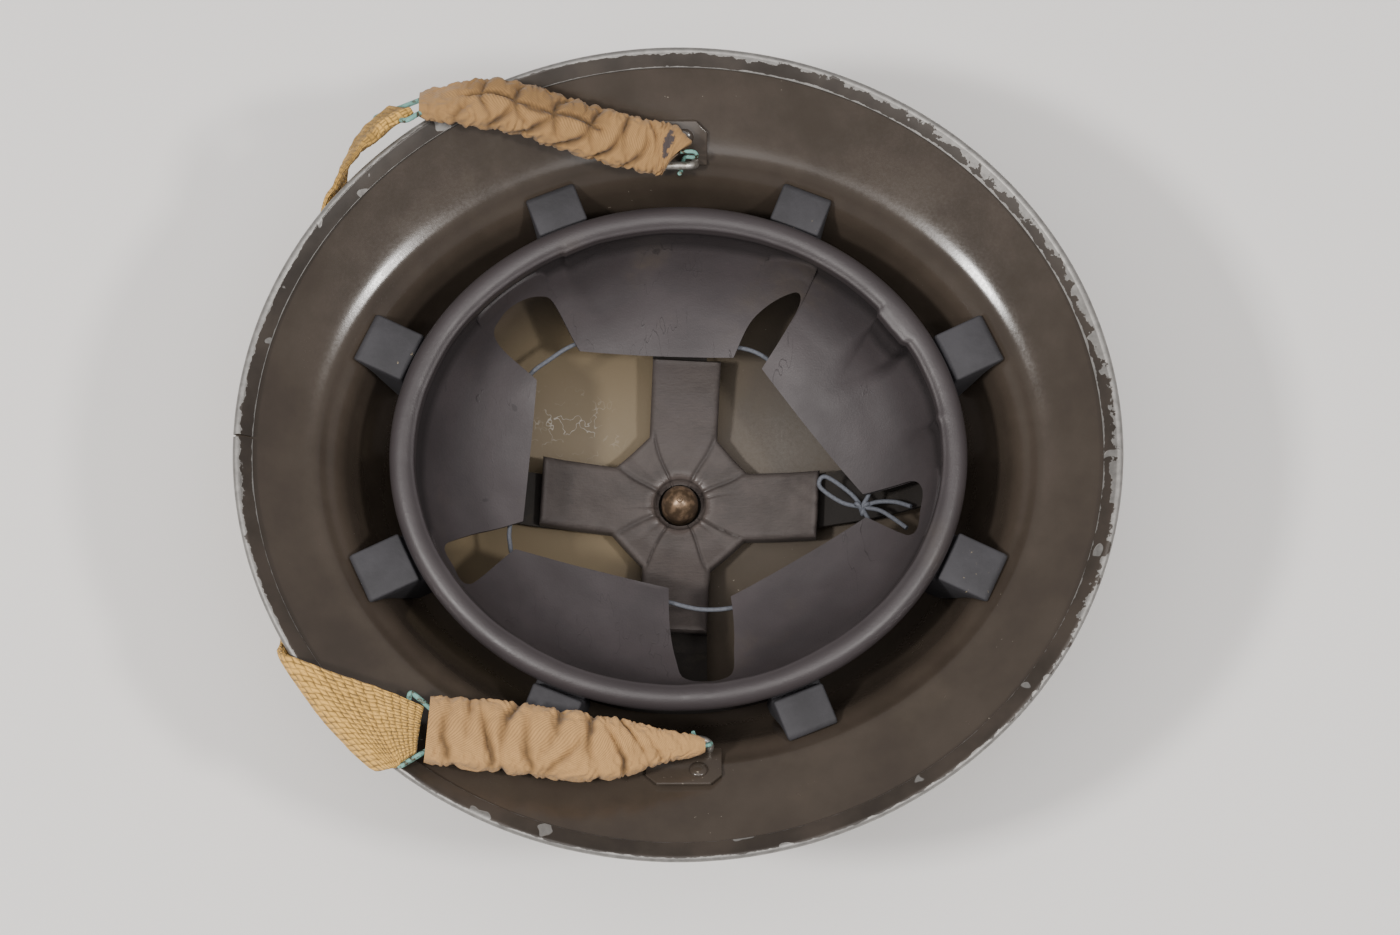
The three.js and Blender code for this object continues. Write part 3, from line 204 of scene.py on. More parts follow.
# Colours of wear, which no property changes
SCRATCH_TAN = (0.27, 0.25, 0.21, 1)
CHIP_TAN = (0.24, 0.21, 0.17, 1)
SCUFF_PALE = (0.50, 0.47, 0.42, 1)
STEEL_DARK = (0.11, 0.105, 0.10, 1)
STEEL_PALE = (0.38, 0.37, 0.35, 1)
BAR_DARK = (0.16, 0.14, 0.11, 1)
BAR_PALE = (0.52, 0.50, 0.46, 1)
STAIN_BLACK = (0.035, 0.034, 0.045, 1)
BRASS_BROWN = (0.10, 0.075, 0.045, 1)
RUBBER_TAN = (0.30, 0.24, 0.15, 1)
BRONZE_BRIGHT = (0.5, 0.36, 0.2, 1)


# Curves and surfaces shared by the pieces

def spline(points, t, even=False):
    """Points of a smooth curve through `points` at shares t; `even` gives each span the same pace."""
    p = np.asarray(points, float)
    n = len(p)
    t = np.atleast_1d(np.clip(t, 0.0, 1.0)) * (n - 1)
    i = np.minimum(np.floor(t).astype(int), n - 2)
    w = (t - i)[:, None]
    padded = np.vstack([2 * p[0] - p[1], p, 2 * p[-1] - p[-2]])
    p0, p1, p2, p3 = (padded[i + k] for k in range(4))
    if even:
        m1, m2 = 0.5 * (p2 - p0), 0.5 * (p3 - p1)
    else:
        spans = ((p0, p1), (p1, p2), (p2, p3))
        d0, d1, d2 = (np.sqrt(np.linalg.norm(b - a, axis=1))[:, None] for a, b in spans)
        m1 = ((p1 - p0) / d0 - (p2 - p0) / (d0 + d1) + (p2 - p1) / d1) * d1
        m2 = ((p2 - p1) / d1 - (p3 - p1) / (d1 + d2) + (p3 - p2) / d2) * d1
    return p1 + m1 * w + (-3 * p1 + 3 * p2 - 2 * m1 - m2) * w ** 2 + (2 * p1 - 2 * p2 + m1 + m2) * w ** 3


def unit(v):
    """Vectors at length one along the last axis."""
    return v / np.maximum(np.linalg.norm(v, axis=-1, keepdims=True), 1e-9)


def ripple(points, size, seed=0.0):
    """Smooth noise from -1 to 1 at each point, with lumps about `size` mm across."""
    flat = np.asarray(points, float).reshape(-1, 3) / size + seed
    values = [noise.noise(Vector(p)) for p in flat]
    return np.array(values).reshape(np.asarray(points).shape[:-1])


def on_shell(k, angle):
    """Inner face of the shell at row number k and oval angle."""
    oval = spline(SHELL_ROWS, np.ravel(k) / LAST_ROW, even=True).reshape(np.shape(k) + (3,))
    x, y = oval[..., 0] * np.cos(angle), oval[..., 1] * np.sin(angle)
    return np.stack([x, y, oval[..., 2] + 0 * angle], -1)


def shell_frame(k, angle):
    """Point, outward run, direction round the oval and normal into the hollow."""
    k, angle = np.broadcast_arrays(np.asarray(k, float), np.asarray(angle, float))
    step = 0.02
    out = on_shell(np.minimum(k + step, LAST_ROW), angle) - on_shell(np.maximum(k - step, 0), angle)
    along = unit(on_shell(k, angle + step) - on_shell(k, angle - step))
    normal = unit(np.cross(along, unit(out)))
    normal = np.where(normal[..., 2:] < 0, -normal, normal)
    return on_shell(k, angle), unit(np.cross(along, normal)), along, normal


def row_where(test):
    """Row number at which the oval first passes the test."""
    low, high = 0.0, float(LAST_ROW)
    for _ in range(40):
        middle = (low + high) / 2
        oval = spline(SHELL_ROWS, middle / LAST_ROW, even=True)[0]
        low, high = (low, middle) if test(oval) else (middle, high)
    return (low + high) / 2


def lug_frame(side):
    """Place and directions of a chin strap lug on the brim."""
    x, y = LUGS[side]
    k = row_where(lambda oval: (x / oval[0]) ** 2 + (y / oval[1]) ** 2 < 1)
    oval = spline(SHELL_ROWS, k / LAST_ROW, even=True)[0]
    point, _, _, normal = shell_frame(k, math.atan2(y / oval[1], x / oval[0]))
    along = unit(np.array([1.0, 0, 0]) - normal * normal[0])
    out = np.cross(normal, along)
    return point, along, out if out @ np.array([x, y, 0]) > 0 else -out, normal


LUG_FRAMES = {side: lug_frame(side) for side in LUGS}


def on_lug(side, x, out, lift):
    """Point near a lug, from its own along, out and lift distances."""
    point, along, away, normal = LUG_FRAMES[side]
    return point + along * x + away * out + normal * lift


def band_radius(turn):
    """Distance from the middle to the head band at a turn in degrees."""
    a = np.radians(turn)
    return 1 / np.hypot(np.cos(a) / BAND["length"], np.sin(a) / BAND["width"])


def height_line(rows):
    """Fine line through rows of share and height."""
    even_pace = (1, 100)
    return spline(rows / even_pace, np.linspace(0, 1, 400)) * even_pace


BOWL_LINE = height_line(BOWL)
RISE_LINE = height_line(CROWN_LINE)


def bowl_height(share):
    """Height of the cloth bowl at a share of the band radius."""
    return np.interp(share, *BOWL_LINE.T)


def bowl_slope(share):
    """Rise of the cloth bowl over a whole band radius, at a share of it."""
    step = 0.01
    return (bowl_height(share + step) - bowl_height(share - step)) / (2 * step)


def pad_seat(x, y):
    """Under side of the crown pad."""
    rise_along = np.interp(abs(x) / CROWN["length"], *RISE_LINE.T)
    rise_across = np.interp(abs(y) / CROWN["side"], *RISE_LINE.T)
    return CROWN_SEAT + np.maximum(rise_along, rise_across) + PAD["slope"] * np.hypot(x, y)


def polar(turn, radius, z):
    """Point at a turn in degrees, a distance from the middle and a height."""
    a = np.radians(turn)
    return np.stack([radius * np.cos(a), radius * np.sin(a), z + 0 * a], -1)


def sleeve_frame(side, share):
    """Centre, half sizes, run, width direction and upward direction of a sleeve."""
    tip = on_lug(side, *SLEEVE_TIP)
    rows = np.array([(*tip, *SLEEVE_TIP_SIZE)] + SLEEVE_ROWS[side])
    centre = spline(rows[:, :3], share)
    size = spline(rows[:, 3:] * (1, 1, 0.1), share) * (1, 1, 10)
    step = 0.004
    ahead, behind = np.minimum(share + step, 1), np.maximum(share - step, 0)
    run = unit(spline(rows[:, :3], ahead) - spline(rows[:, :3], behind))
    lean = np.radians(size[:, 2])
    outward = 1 if side == "left" else -1
    across = np.stack([0 * lean, outward * np.cos(lean), np.sin(lean)], -1)
    across = unit(across - run * np.sum(across * run, 1, keepdims=True))
    up = unit(np.cross(run, across))
    return centre, size, run, across, np.where(up[:, 2:] < 0, -up, up)


def on_webbing(along, across):
    """Middle of the webbing's thickness at shares of its length and width."""
    along, across = np.broadcast_arrays(np.asarray(along, float), np.asarray(across, float))
    scale = np.array([100, 1, 100.0])
    edges = [spline(rows / scale, along.ravel(), even=True) * scale for rows in np.hsplit(WEBBING_ROWS, 2)]
    turn, share, z = (edges[0] + (edges[1] - edges[0]) * across.ravel()[:, None]).T
    a = np.radians(turn)
    points = np.stack([RIM["length"] * share * np.cos(a), RIM["width"] * share * np.sin(a), z], -1)
    return points.reshape(along.shape + (3,))


def humps(turn, rows):
    """Sum of smooth humps at turns in degrees, from rows of turn, spread and height."""
    return sum(height * np.exp(-((turn - at) / spread) ** 2) for at, spread, height in rows)


# Meshes

def finish_mesh(name, points, faces, smooth):
    """Mesh in metres from points in millimetres, turned so that its faces look outwards."""
    mesh = bpy.data.meshes.new(name)
    mesh.from_pydata((np.asarray(points) * MM).tolist(), [], faces)
    mesh.validate()
    mesh.calc_loop_triangles()
    corners = np.empty(len(mesh.loop_triangles) * 3, int)
    mesh.loop_triangles.foreach_get("vertices", corners)
    tri = np.asarray(points)[corners].reshape(-1, 3, 3)
    if np.sum(tri[:, 0] * np.cross(tri[:, 1], tri[:, 2])) < 0:
        mesh.flip_normals()
    mesh.polygons.foreach_set("use_smooth", [True] * len(mesh.polygons))
    mesh.set_sharp_from_angle(angle=math.radians(smooth))
    return mesh


def lofted(name, rings, looped, u=None, v=None, smooth=40.0, **marks):
    """Closed mesh through rings of points, with point attributes and, where u is given, a UV map."""
    rings = np.asarray(rings, float)
    count, sides = rings.shape[:2]
    index = np.arange(count * sides).reshape(count, sides)
    i, j = np.meshgrid(np.arange(count if looped else count - 1), np.arange(sides), indexing="ij")
    after, side = (i + 1) % count, (j + 1) % sides
    quads = np.stack([index[i, j], index[i, side], index[after, side], index[after, j]], -1)
    faces = quads.reshape(-1, 4).tolist()
    if not looped:
        faces += [index[0][::-1].tolist(), index[-1].tolist()]
    mesh = finish_mesh(name, rings.reshape(-1, 3), faces, smooth)
    if u is not None:
        unwrap(mesh, count, sides, looped, np.asarray(u, float), np.asarray(v, float))
    for mark, values in marks.items():
        attribute = mesh.attributes.new(mark, "FLOAT", "POINT")
        attribute.data.foreach_set("value", np.asarray(values, float).ravel())
    return mesh


def unwrap(mesh, count, sides, looped, u, v):
    """UV map in centimetres from distances u from ring to ring and v round a ring, in millimetres."""
    corners = np.empty(len(mesh.loops), int)
    mesh.loops.foreach_get("vertex_index", corners)
    ring, side = corners // sides, corners % sides
    totals = np.empty(len(mesh.polygons), int)
    mesh.polygons.foreach_get("loop_total", totals)
    owner = np.repeat(np.arange(len(totals)), totals)
    quad = totals[owner] == 4
    at_last_side, at_last_ring = np.zeros((2, len(totals)), bool)
    np.logical_or.at(at_last_side, owner, side == sides - 1)
    np.logical_or.at(at_last_ring, owner, ring == count - 1)
    side = np.where(at_last_side[owner] & (side == 0) & quad, sides, side)
    ring = np.where(looped & at_last_ring[owner] & (ring == 0) & quad, count, ring)
    uv = np.stack([u[np.minimum(ring, len(u) - 1)], v[np.minimum(side, len(v) - 1)]], -1) * 0.1
    mesh.uv_layers.new(name="UVMap").data.foreach_set("uv", uv.ravel())


def lathe(name, profile):
    """Turned piece about +Z from radius and height pairs, closed on the axis."""
    angles = np.arange(LATHE_STEPS) * FULL_TURN / LATHE_STEPS
    points, faces, rows = [], [], []
    for radius, z in profile:
        if radius == 0:
            rows.append([len(points)] * LATHE_STEPS)
            points.append((0, 0, z))
        else:
            rows.append(list(range(len(points), len(points) + LATHE_STEPS)))
            points += [(radius * math.cos(a), radius * math.sin(a), z) for a in angles]
    for low, high in zip(rows, rows[1:]):
        for j in range(LATHE_STEPS):
            k = (j + 1) % LATHE_STEPS
            ring = [low[j], low[k], high[k], high[j]]
            face = list(dict.fromkeys(ring))
            if len(face) > 2:
                faces.append(face)
    return finish_mesh(name, points, faces, 35.0)


def prism(name, outline, place, heights, bevel):
    """Flat outline raised between two heights by `place`, with rounded edges."""
    points = [place(x, y, z) for z in heights for x, y in outline]
    n = len(outline)
    faces = [list(range(n))[::-1], list(range(n, 2 * n))]
    faces += [[i, (i + 1) % n, n + (i + 1) % n, n + i] for i in range(n)]
    return rounded(finish_mesh(name, points, faces, 30.0), bevel)


def rounded(mesh, width):
    """The mesh with its sharp edges rounded by a bevel."""
    obj = bpy.data.objects.new("rounding", mesh)
    bpy.context.scene.collection.objects.link(obj)
    bevel = obj.modifiers.new("edges", "BEVEL")
    bevel.width = width * MM
    bevel.segments = 3
    bevel.limit_method = "ANGLE"
    bevel.angle_limit = math.radians(30)
    done = plain_mesh(obj)
    done.polygons.foreach_set("use_smooth", [True] * len(done.polygons))
    done.set_sharp_from_angle(angle=math.radians(50))
    return done


def plain_mesh(obj):
    """Evaluated mesh of an object, which is then removed."""
    graph = bpy.context.evaluated_depsgraph_get()
    mesh = bpy.data.meshes.new_from_object(obj.evaluated_get(graph), depsgraph=graph)
    bpy.data.objects.remove(obj)
    return mesh


def add_piece(name, mesh, material, slot, *nodes):
    """Puts a finished mesh on the helmet in place of CAD nodes."""
    mesh.name = name
    mesh.materials.clear()
    mesh.materials.append(material)
    obj = bpy.data.objects.new(name, mesh)
    bpy.context.scene.collection.objects.link(obj)
    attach(obj, BODY)
    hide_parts(*nodes)
    return obj


def dress_node(node, material):
    """Gives a CAD node that stays in view its material."""
    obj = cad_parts[node]
    for place in obj.material_slots:
        place.material = material


# Geometry Nodes

def new_tree(name, inputs):
    """Empty Geometry Nodes tree with named inputs, its ends and a Realize and Set Material tail."""
    tree = bpy.data.node_groups.new(name, "GeometryNodeTree")
    tree.interface.new_socket("Geometry", in_out="INPUT", socket_type="NodeSocketGeometry")
    for label, kind, default in inputs:
        socket = tree.interface.new_socket(label, in_out="INPUT", socket_type=kind)
        if default is not None:
            socket.default_value = default
    tree.interface.new_socket("Material", in_out="INPUT", socket_type="NodeSocketMaterial")
    tree.interface.new_socket("Geometry", in_out="OUTPUT", socket_type="NodeSocketGeometry")
    start, end = tree.nodes.new("NodeGroupInput"), tree.nodes.new("NodeGroupOutput")
    smooth = tree.nodes.new("GeometryNodeSetShadeSmooth")
    realize = tree.nodes.new("GeometryNodeRealizeInstances")
    finish = tree.nodes.new("GeometryNodeSetMaterial")
    tree.links.new(realize.outputs[0], smooth.inputs["Geometry"])
    tree.links.new(smooth.outputs["Geometry"], finish.inputs["Geometry"])
    tree.links.new(start.outputs["Material"], finish.inputs["Material"])
    tree.links.new(finish.outputs["Geometry"], end.inputs["Geometry"])
    return tree, start, realize.inputs[0]


def wire_tree():
    """Round wire or cord along a curve, with its run and turn kept as the attribute `cord`."""
    inputs = [("Radius", "NodeSocketFloat", 0.001), ("Sides", "NodeSocketInt", 12)]
    tree, start, tail = new_tree("round_wire", inputs)
    make, link = tree.nodes.new, tree.links.new
    places = []
    for label, out in (("Run", "Length"), ("Turn", "Factor")):
        parameter, keep = make("GeometryNodeSplineParameter"), make("GeometryNodeCaptureAttribute")
        keep.capture_items.new("FLOAT", label)
        link(parameter.outputs[out], keep.inputs[1])
        places.append(keep)
    profile, sweep = make("GeometryNodeCurvePrimitiveCircle"), make("GeometryNodeCurveToMesh")
    link(start.outputs["Geometry"], places[0].inputs["Geometry"])
    link(start.outputs["Radius"], profile.inputs["Radius"])
    link(start.outputs["Sides"], profile.inputs["Resolution"])
    link(profile.outputs["Curve"], places[1].inputs["Geometry"])
    link(places[0].outputs["Geometry"], sweep.inputs["Curve"])
    link(places[1].outputs["Geometry"], sweep.inputs["Profile Curve"])
    sweep.inputs["Fill Caps"].default_value = True
    join, store = make("ShaderNodeCombineXYZ"), make("GeometryNodeStoreNamedAttribute")
    store.data_type = "FLOAT_VECTOR"
    store.inputs["Name"].default_value = "cord"
    link(places[0].outputs[1], join.inputs["X"])
    link(places[1].outputs[1], join.inputs["Y"])
    link(sweep.outputs["Mesh"], store.inputs["Geometry"])
    link(join.outputs[0], store.inputs["Value"])
    link(store.outputs["Geometry"], tail)
    return tree


def rivet_tree():
    """Domed head on every point, turned to the point's attribute `facing`."""
    inputs = [("Radius", "NodeSocketFloat", 0.003), ("Dome", "NodeSocketFloat", 0.0013)]
    tree, start, tail = new_tree("rivet_heads", inputs)
    make, link = tree.nodes.new, tree.links.new
    ball, shape = make("GeometryNodeMeshUVSphere"), make("GeometryNodeTransform")
    size, facing = make("ShaderNodeCombineXYZ"), make("GeometryNodeInputNamedAttribute")
    turn, place = make("FunctionNodeAlignRotationToVector"), make("GeometryNodeInstanceOnPoints")
    ball.inputs["Segments"].default_value = 32
    ball.inputs["Rings"].default_value = 16
    ball.inputs["Radius"].default_value = 1.0
    facing.data_type = "FLOAT_VECTOR"
    facing.inputs["Name"].default_value = "facing"
    turn.axis = "Z"
    link(start.outputs["Radius"], size.inputs["X"])
    link(start.outputs["Radius"], size.inputs["Y"])
    link(start.outputs["Dome"], size.inputs["Z"])
    link(ball.outputs["Mesh"], shape.inputs["Geometry"])
    link(size.outputs[0], shape.inputs["Scale"])
    link(facing.outputs["Attribute"], turn.inputs["Vector"])
    link(start.outputs["Geometry"], place.inputs["Points"])
    link(shape.outputs["Geometry"], place.inputs["Instance"])
    link(turn.outputs["Rotation"], place.inputs["Rotation"])
    link(place.outputs["Instances"], tail)
    return tree


def run_tree(tree, data, **values):
    """Plain mesh that a tree makes from a curve or mesh."""
    obj = bpy.data.objects.new("tree_base", data)
    bpy.context.scene.collection.objects.link(obj)
    modifier = obj.modifiers.new("tree", "NODES")
    modifier.node_group = tree
    for item in tree.interface.items_tree:
        if item.in_out == "INPUT" and item.name in values:
            modifier[item.identifier] = values[item.name]
    return plain_mesh(obj)


def swept(lines, radius, material, sides=12):
    """Wire mesh along lines of points in millimetres; a closed line repeats its first point."""
    curve = bpy.data.curves.new("wire_line", "CURVE")
    curve.dimensions = "3D"
    for line in lines:
        line = np.asarray(line, float) * MM
        closed = np.allclose(line[0], line[-1])
        line = line[:-1] if closed else line
        part = curve.splines.new("POLY")
        part.points.add(len(line) - 1)
        part.points.foreach_set("co", np.column_stack([line, np.ones(len(line))]).ravel())
        part.use_cyclic_u = bool(closed)
    tree = bpy.data.node_groups.get("round_wire") or wire_tree()
    return run_tree(tree, curve, Radius=radius * MM, Sides=sides, Material=material)


# Materials

class Finish:
    """A material under construction, with short calls for its nodes."""

    def __init__(self, name):
        self.material = bpy.data.materials.new(name)
        self.material.use_nodes = True
        self.tree = self.material.node_tree
        self.shader = next(n for n in self.tree.nodes if n.type == "BSDF_PRINCIPLED")

    def node(self, kind, settings=None, **inputs):
        node = self.tree.nodes.new(kind)
        for key, value in (settings or {}).items():
            setattr(node, key, value)
        for key, value in inputs.items():
            self.feed(node.inputs[key.replace("_", " ")], value)
        return node

    def feed(self, socket, value):
        if isinstance(value, bpy.types.NodeSocket):
            self.tree.links.new(value, socket)
        else:
            socket.default_value = value

    def group(self, tree, **inputs):
        node = self.tree.nodes.new("ShaderNodeGroup")
        node.node_tree = tree
        for key, value in inputs.items():
            self.feed(node.inputs[key.replace("_", " ")], value)
        return node.outputs

    def place(self):
        return self.node("ShaderNodeTexCoord").outputs["Object"]

    def uv(self):
        return self.node("ShaderNodeTexCoord").outputs["UV"]

    def mark(self, name, out="Fac"):
        return self.node("ShaderNodeAttribute", {"attribute_name": name}).outputs[out]

    def sum(self, kind, a, b=0.0, c=0.0, clamp=False):
        node = self.node("ShaderNodeMath", {"operation": kind, "use_clamp": clamp})
        for socket, value in zip(node.inputs, (a, b, c)):
            self.feed(socket, value)
        return node.outputs[0]

    def step(self, value, low, high):
        node = self.node("ShaderNodeMapRange", {"interpolation_type": "SMOOTHSTEP"})
        for key, part in zip(("Value", "From Min", "From Max"), (value, low, high)):
            self.feed(node.inputs[key], part)
        return node.outputs["Result"]

    def mix(self, share, a, b):
        node = self.node("ShaderNodeMix", {"data_type": "RGBA"})
        for socket, value in zip((node.inputs[0], node.inputs[6], node.inputs[7]), (share, a, b)):
            self.feed(socket, value)
        return node.outputs[2]

    def noise(self, vector, scale, detail=4.0, rough=0.55):
        node = self.node("ShaderNodeTexNoise", Vector=vector, Scale=scale, Detail=detail, Roughness=rough)
        return node.outputs["Fac"]

    def bump(self, height, strength, distance):
        node = self.node("ShaderNodeBump", Height=height, Strength=strength, Distance=distance)
        return node.outputs["Normal"]

    def done(self, **inputs):
        for key, value in inputs.items():
            self.feed(self.shader.inputs[key.replace("_", " ")], value)
        return self.material


class EffectGroup(Finish):
    """A shader node group under construction."""

    def __init__(self, name, inputs, outputs):
        self.tree = bpy.data.node_groups.new(name, "ShaderNodeTree")
        for label, kind, default in inputs:
            socket = self.tree.interface.new_socket(label, in_out="INPUT", socket_type=kind)
            if default is not None:
                socket.default_value = default
        for label in outputs:
            self.tree.interface.new_socket(label, in_out="OUTPUT", socket_type="NodeSocketFloat")
        self.inputs = self.tree.nodes.new("NodeGroupInput").outputs
        self.ends = self.tree.nodes.new("NodeGroupOutput").inputs

    def close(self, **outputs):
        for key, value in outputs.items():
            self.tree.links.new(value, self.ends[key])
        return self.tree


def worn_group():
    """Uneven tone, small chips and clustered scratches on paint or rubber."""
    if "surface_wear" in bpy.data.node_groups:
        return bpy.data.node_groups["surface_wear"]
    g = EffectGroup("surface_wear", [("Vector", "NodeSocketVector", None), ("Chips", "NodeSocketFloat", 0.1),
                                     ("Scratches", "NodeSocketFloat", 0.1)], ["Tone", "Chips", "Scratches"])
    vector = g.inputs["Vector"]
    tone = g.noise(vector, 38.0, 6.0, 0.6)
    cluster = g.noise(vector, 17.0, 2.0)
    specks = g.noise(vector, 520.0, 3.0, 0.6)
    edge = g.sum("SUBTRACT", 0.86, g.sum("MULTIPLY", g.inputs["Chips"], g.step(cluster, 0.42, 0.68)))
    chips = g.step(specks, edge, g.sum("ADD", edge, 0.03))
    lines = []
    thin = (75.0, 1500.0, 75.0)
    for turn, seed in (((0.2, 0.3, 0.9), 0.0), ((0.5, -0.4, 2.3), 3.0), ((0.3, 0.1, 1.6), 6.0)):
        mapping = g.node("ShaderNodeMapping", Vector=vector, Rotation=turn, Location=(seed, 0, 0), Scale=thin)
        fine = g.noise(mapping.outputs[0], 1.0, 1.0)
        limit = g.sum("SUBTRACT", 0.88, g.sum("MULTIPLY", g.inputs["Scratches"], g.step(cluster, 0.4, 0.7)))
        lines.append(g.step(fine, limit, g.sum("ADD", limit, 0.02)))
    scratches = g.sum("MAXIMUM", g.sum("MAXIMUM", lines[0], lines[1]), lines[2])
    return g.close(Tone=tone, Chips=chips, Scratches=scratches)


def weave_group():
    """Threads of a cloth: plain weave, or diagonal lines where Twill is 1."""
    if "cloth_threads" in bpy.data.node_groups:
        return bpy.data.node_groups["cloth_threads"]
    g = EffectGroup("cloth_threads", [("Vector", "NodeSocketVector", None), ("Warp", "NodeSocketFloat", 1.0),
                                      ("Weft", "NodeSocketFloat", 1.0), ("Twill", "NodeSocketFloat", 0.0)],
                    ["Height", "Thread"])
    parts = g.node("ShaderNodeSeparateXYZ", Vector=g.inputs["Vector"]).outputs
    x = g.sum("DIVIDE", parts["X"], g.inputs["Warp"])
    y = g.sum("DIVIDE", parts["Y"], g.inputs["Weft"])
    wave_x = g.sum("ABSOLUTE", g.sum("SINE", g.sum("MULTIPLY", x, math.pi)))
    wave_y = g.sum("ABSOLUTE", g.sum("SINE", g.sum("MULTIPLY", y, math.pi)))
    parity = g.sum("FLOORED_MODULO", g.sum("ADD", g.sum("FLOOR", x), g.sum("FLOOR", y)), 2.0)
    over = g.sum("MULTIPLY", wave_x, g.sum("MULTIPLY_ADD", wave_y, 0.45, 0.55))
    under = g.sum("MULTIPLY", wave_y, g.sum("MULTIPLY_ADD", wave_x, 0.45, 0.55))
    under = g.sum("MULTIPLY", under, g.sum("SUBTRACT", 1.0, parity))
    plain = g.sum("ADD", g.sum("MULTIPLY", over, parity), under)
    slant = g.sum("MULTIPLY", g.sum("MULTIPLY_ADD", y, 0.4, x), math.pi)
    ridge = g.sum("ABSOLUTE", g.sum("SINE", slant))
    twill = g.sum("MULTIPLY", ridge, g.sum("MULTIPLY_ADD", wave_y, 0.2, 0.8))
    keep = g.sum("SUBTRACT", 1.0, g.inputs["Twill"])
    height = g.sum("ADD", g.sum("MULTIPLY", plain, keep), g.sum("MULTIPLY", twill, g.inputs["Twill"]))
    cell = g.node("ShaderNodeCombineXYZ", X=g.sum("MULTIPLY", x, 0.7), Y=g.sum("MULTIPLY", y, 0.7))
    return g.close(Height=height, Thread=g.noise(cell.outputs[0], 1.0, 2.0))


def soil_group():
    """Broad patches of dirt and fading."""
    if "soil" in bpy.data.node_groups:
        return bpy.data.node_groups["soil"]
    g = EffectGroup("soil", [("Vector", "NodeSocketVector", None), ("Size", "NodeSocketFloat", 30.0),
                             ("Spread", "NodeSocketFloat", 0.5)], ["Patch", "Grain"])
    patch = g.noise(g.inputs["Vector"], g.inputs["Size"], 5.0, 0.6)
    grain = g.noise(g.inputs["Vector"], 900.0, 2.0)
    limit = g.sum("SUBTRACT", 0.75, g.sum("MULTIPLY", g.inputs["Spread"], 0.4))
    return g.close(Patch=g.step(patch, limit, g.sum("ADD", limit, 0.25)), Grain=grain)


def tint(colour, share):
    """A colour made darker or lighter."""
    return (*[min(1.0, c * share) for c in colour[:3]], 1.0)


def solid(colour):
    """A colour with full alpha."""
    return (*colour[:3], 1.0)


def paint_finish(name, colours, chips, scratches):
    """Dark brown paint, semi-gloss and rubbed, scuffed, and painted khaki as a pool of light low in the dome
    where it is marked for it.
    """
    m = Finish(name)
    place, dome = m.place(), m.mark("dome")
    wear = m.group(worn_group(), Vector=place, Chips=chips, Scratches=scratches)
    dirt = m.group(soil_group(), Vector=place, Size=21.0, Spread=0.45)
    curls = m.sum("ABSOLUTE", m.sum("SUBTRACT", m.noise(place, 150.0, 2.0), 0.5))
    scuffs = m.sum("MULTIPLY", m.step(curls, 0.014, 0.004), m.step(m.noise(place, 110.0, 2.0), 0.44, 0.56))
    scuffs = m.sum("MULTIPLY", scuffs, m.mark("scuff"))
    base = m.mix(m.step(wear["Tone"], 0.3, 0.72), tint(colours.paint, 0.86), tint(colours.paint, 1.16))
    base = m.mix(m.sum("MULTIPLY", dirt["Patch"], 0.24), base, solid(colours.rubbed))
    # Painted light: khaki mixed in where the dome mark stands for light pooled low in the dome.
    base = m.mix(m.sum("MULTIPLY", dome, 0.8), base, solid(colours.khaki))
    base = m.mix(m.sum("MULTIPLY", wear["Scratches"], 0.6), base, SCRATCH_TAN)
    base = m.mix(wear["Chips"], base, CHIP_TAN)
    base = m.mix(m.sum("MULTIPLY", scuffs, 0.75), base, SCUFF_PALE)
    rough = m.sum("MULTIPLY_ADD", wear["Tone"], 0.20, m.sum("MULTIPLY_ADD", dirt["Grain"], 0.14, 0.04))
    dull = m.sum("MULTIPLY", m.mark("dull"), 0.38)
    rough = m.sum("ADD", rough, m.sum("MULTIPLY_ADD", dirt["Patch"], 0.06, dull))
    worn = m.sum("MAXIMUM", wear["Chips"], wear["Scratches"])
    height = m.sum("SUBTRACT", m.sum("MULTIPLY", dirt["Grain"], 0.35), worn)
    return m.done(Base_Color=base, Roughness=rough, Normal=m.bump(height, 0.12, 0.0003))


def rim_finish(colours):
    """Chipped paint over a bare steel strip; the mark `bare` is the distance past the paint's edge in mm."""
    m = Finish("rim_strip_worn")
    place = m.place()
    ragged = m.sum("MULTIPLY", m.sum("SUBTRACT", m.noise(place, 260.0, 5.0, 0.6), 0.5), 13.0)
    slow = m.sum("MULTIPLY", m.sum("SUBTRACT", m.noise(place, 45.0, 3.0), 0.5), 9.0)
    level = m.sum("MULTIPLY_ADD", m.sum("ADD", ragged, slow), m.mark("worn"), m.mark("bare"))
    lone = m.step(m.noise(place, 85.0, 2.0), 0.64, 0.655)
    chip = m.sum("MAXIMUM", m.step(level, -0.12, 0.12), lone)
    wear = m.group(worn_group(), Vector=place, Chips=0.3, Scratches=0.03)
    painted = m.mix(m.step(wear["Tone"], 0.3, 0.7), tint(colours.paint, 0.5), tint(colours.paint, 0.95))
    metal = m.mix(m.noise(place, 330.0, 5.0, 0.6), STEEL_DARK, STEEL_PALE)
    base = m.mix(chip, painted, metal)
    rough = m.sum("ADD", m.sum("MULTIPLY", chip, 0.10), m.sum("MULTIPLY_ADD", wear["Tone"], 0.3, 0.22))
    height = m.sum("SUBTRACT", m.sum("MULTIPLY", wear["Tone"], 0.3), chip)
    metallic = m.sum("MULTIPLY", chip, 0.6)
    return m.done(Base_Color=base, Roughness=rough, Metallic=metallic, Normal=m.bump(height, 0.4, 0.0003))


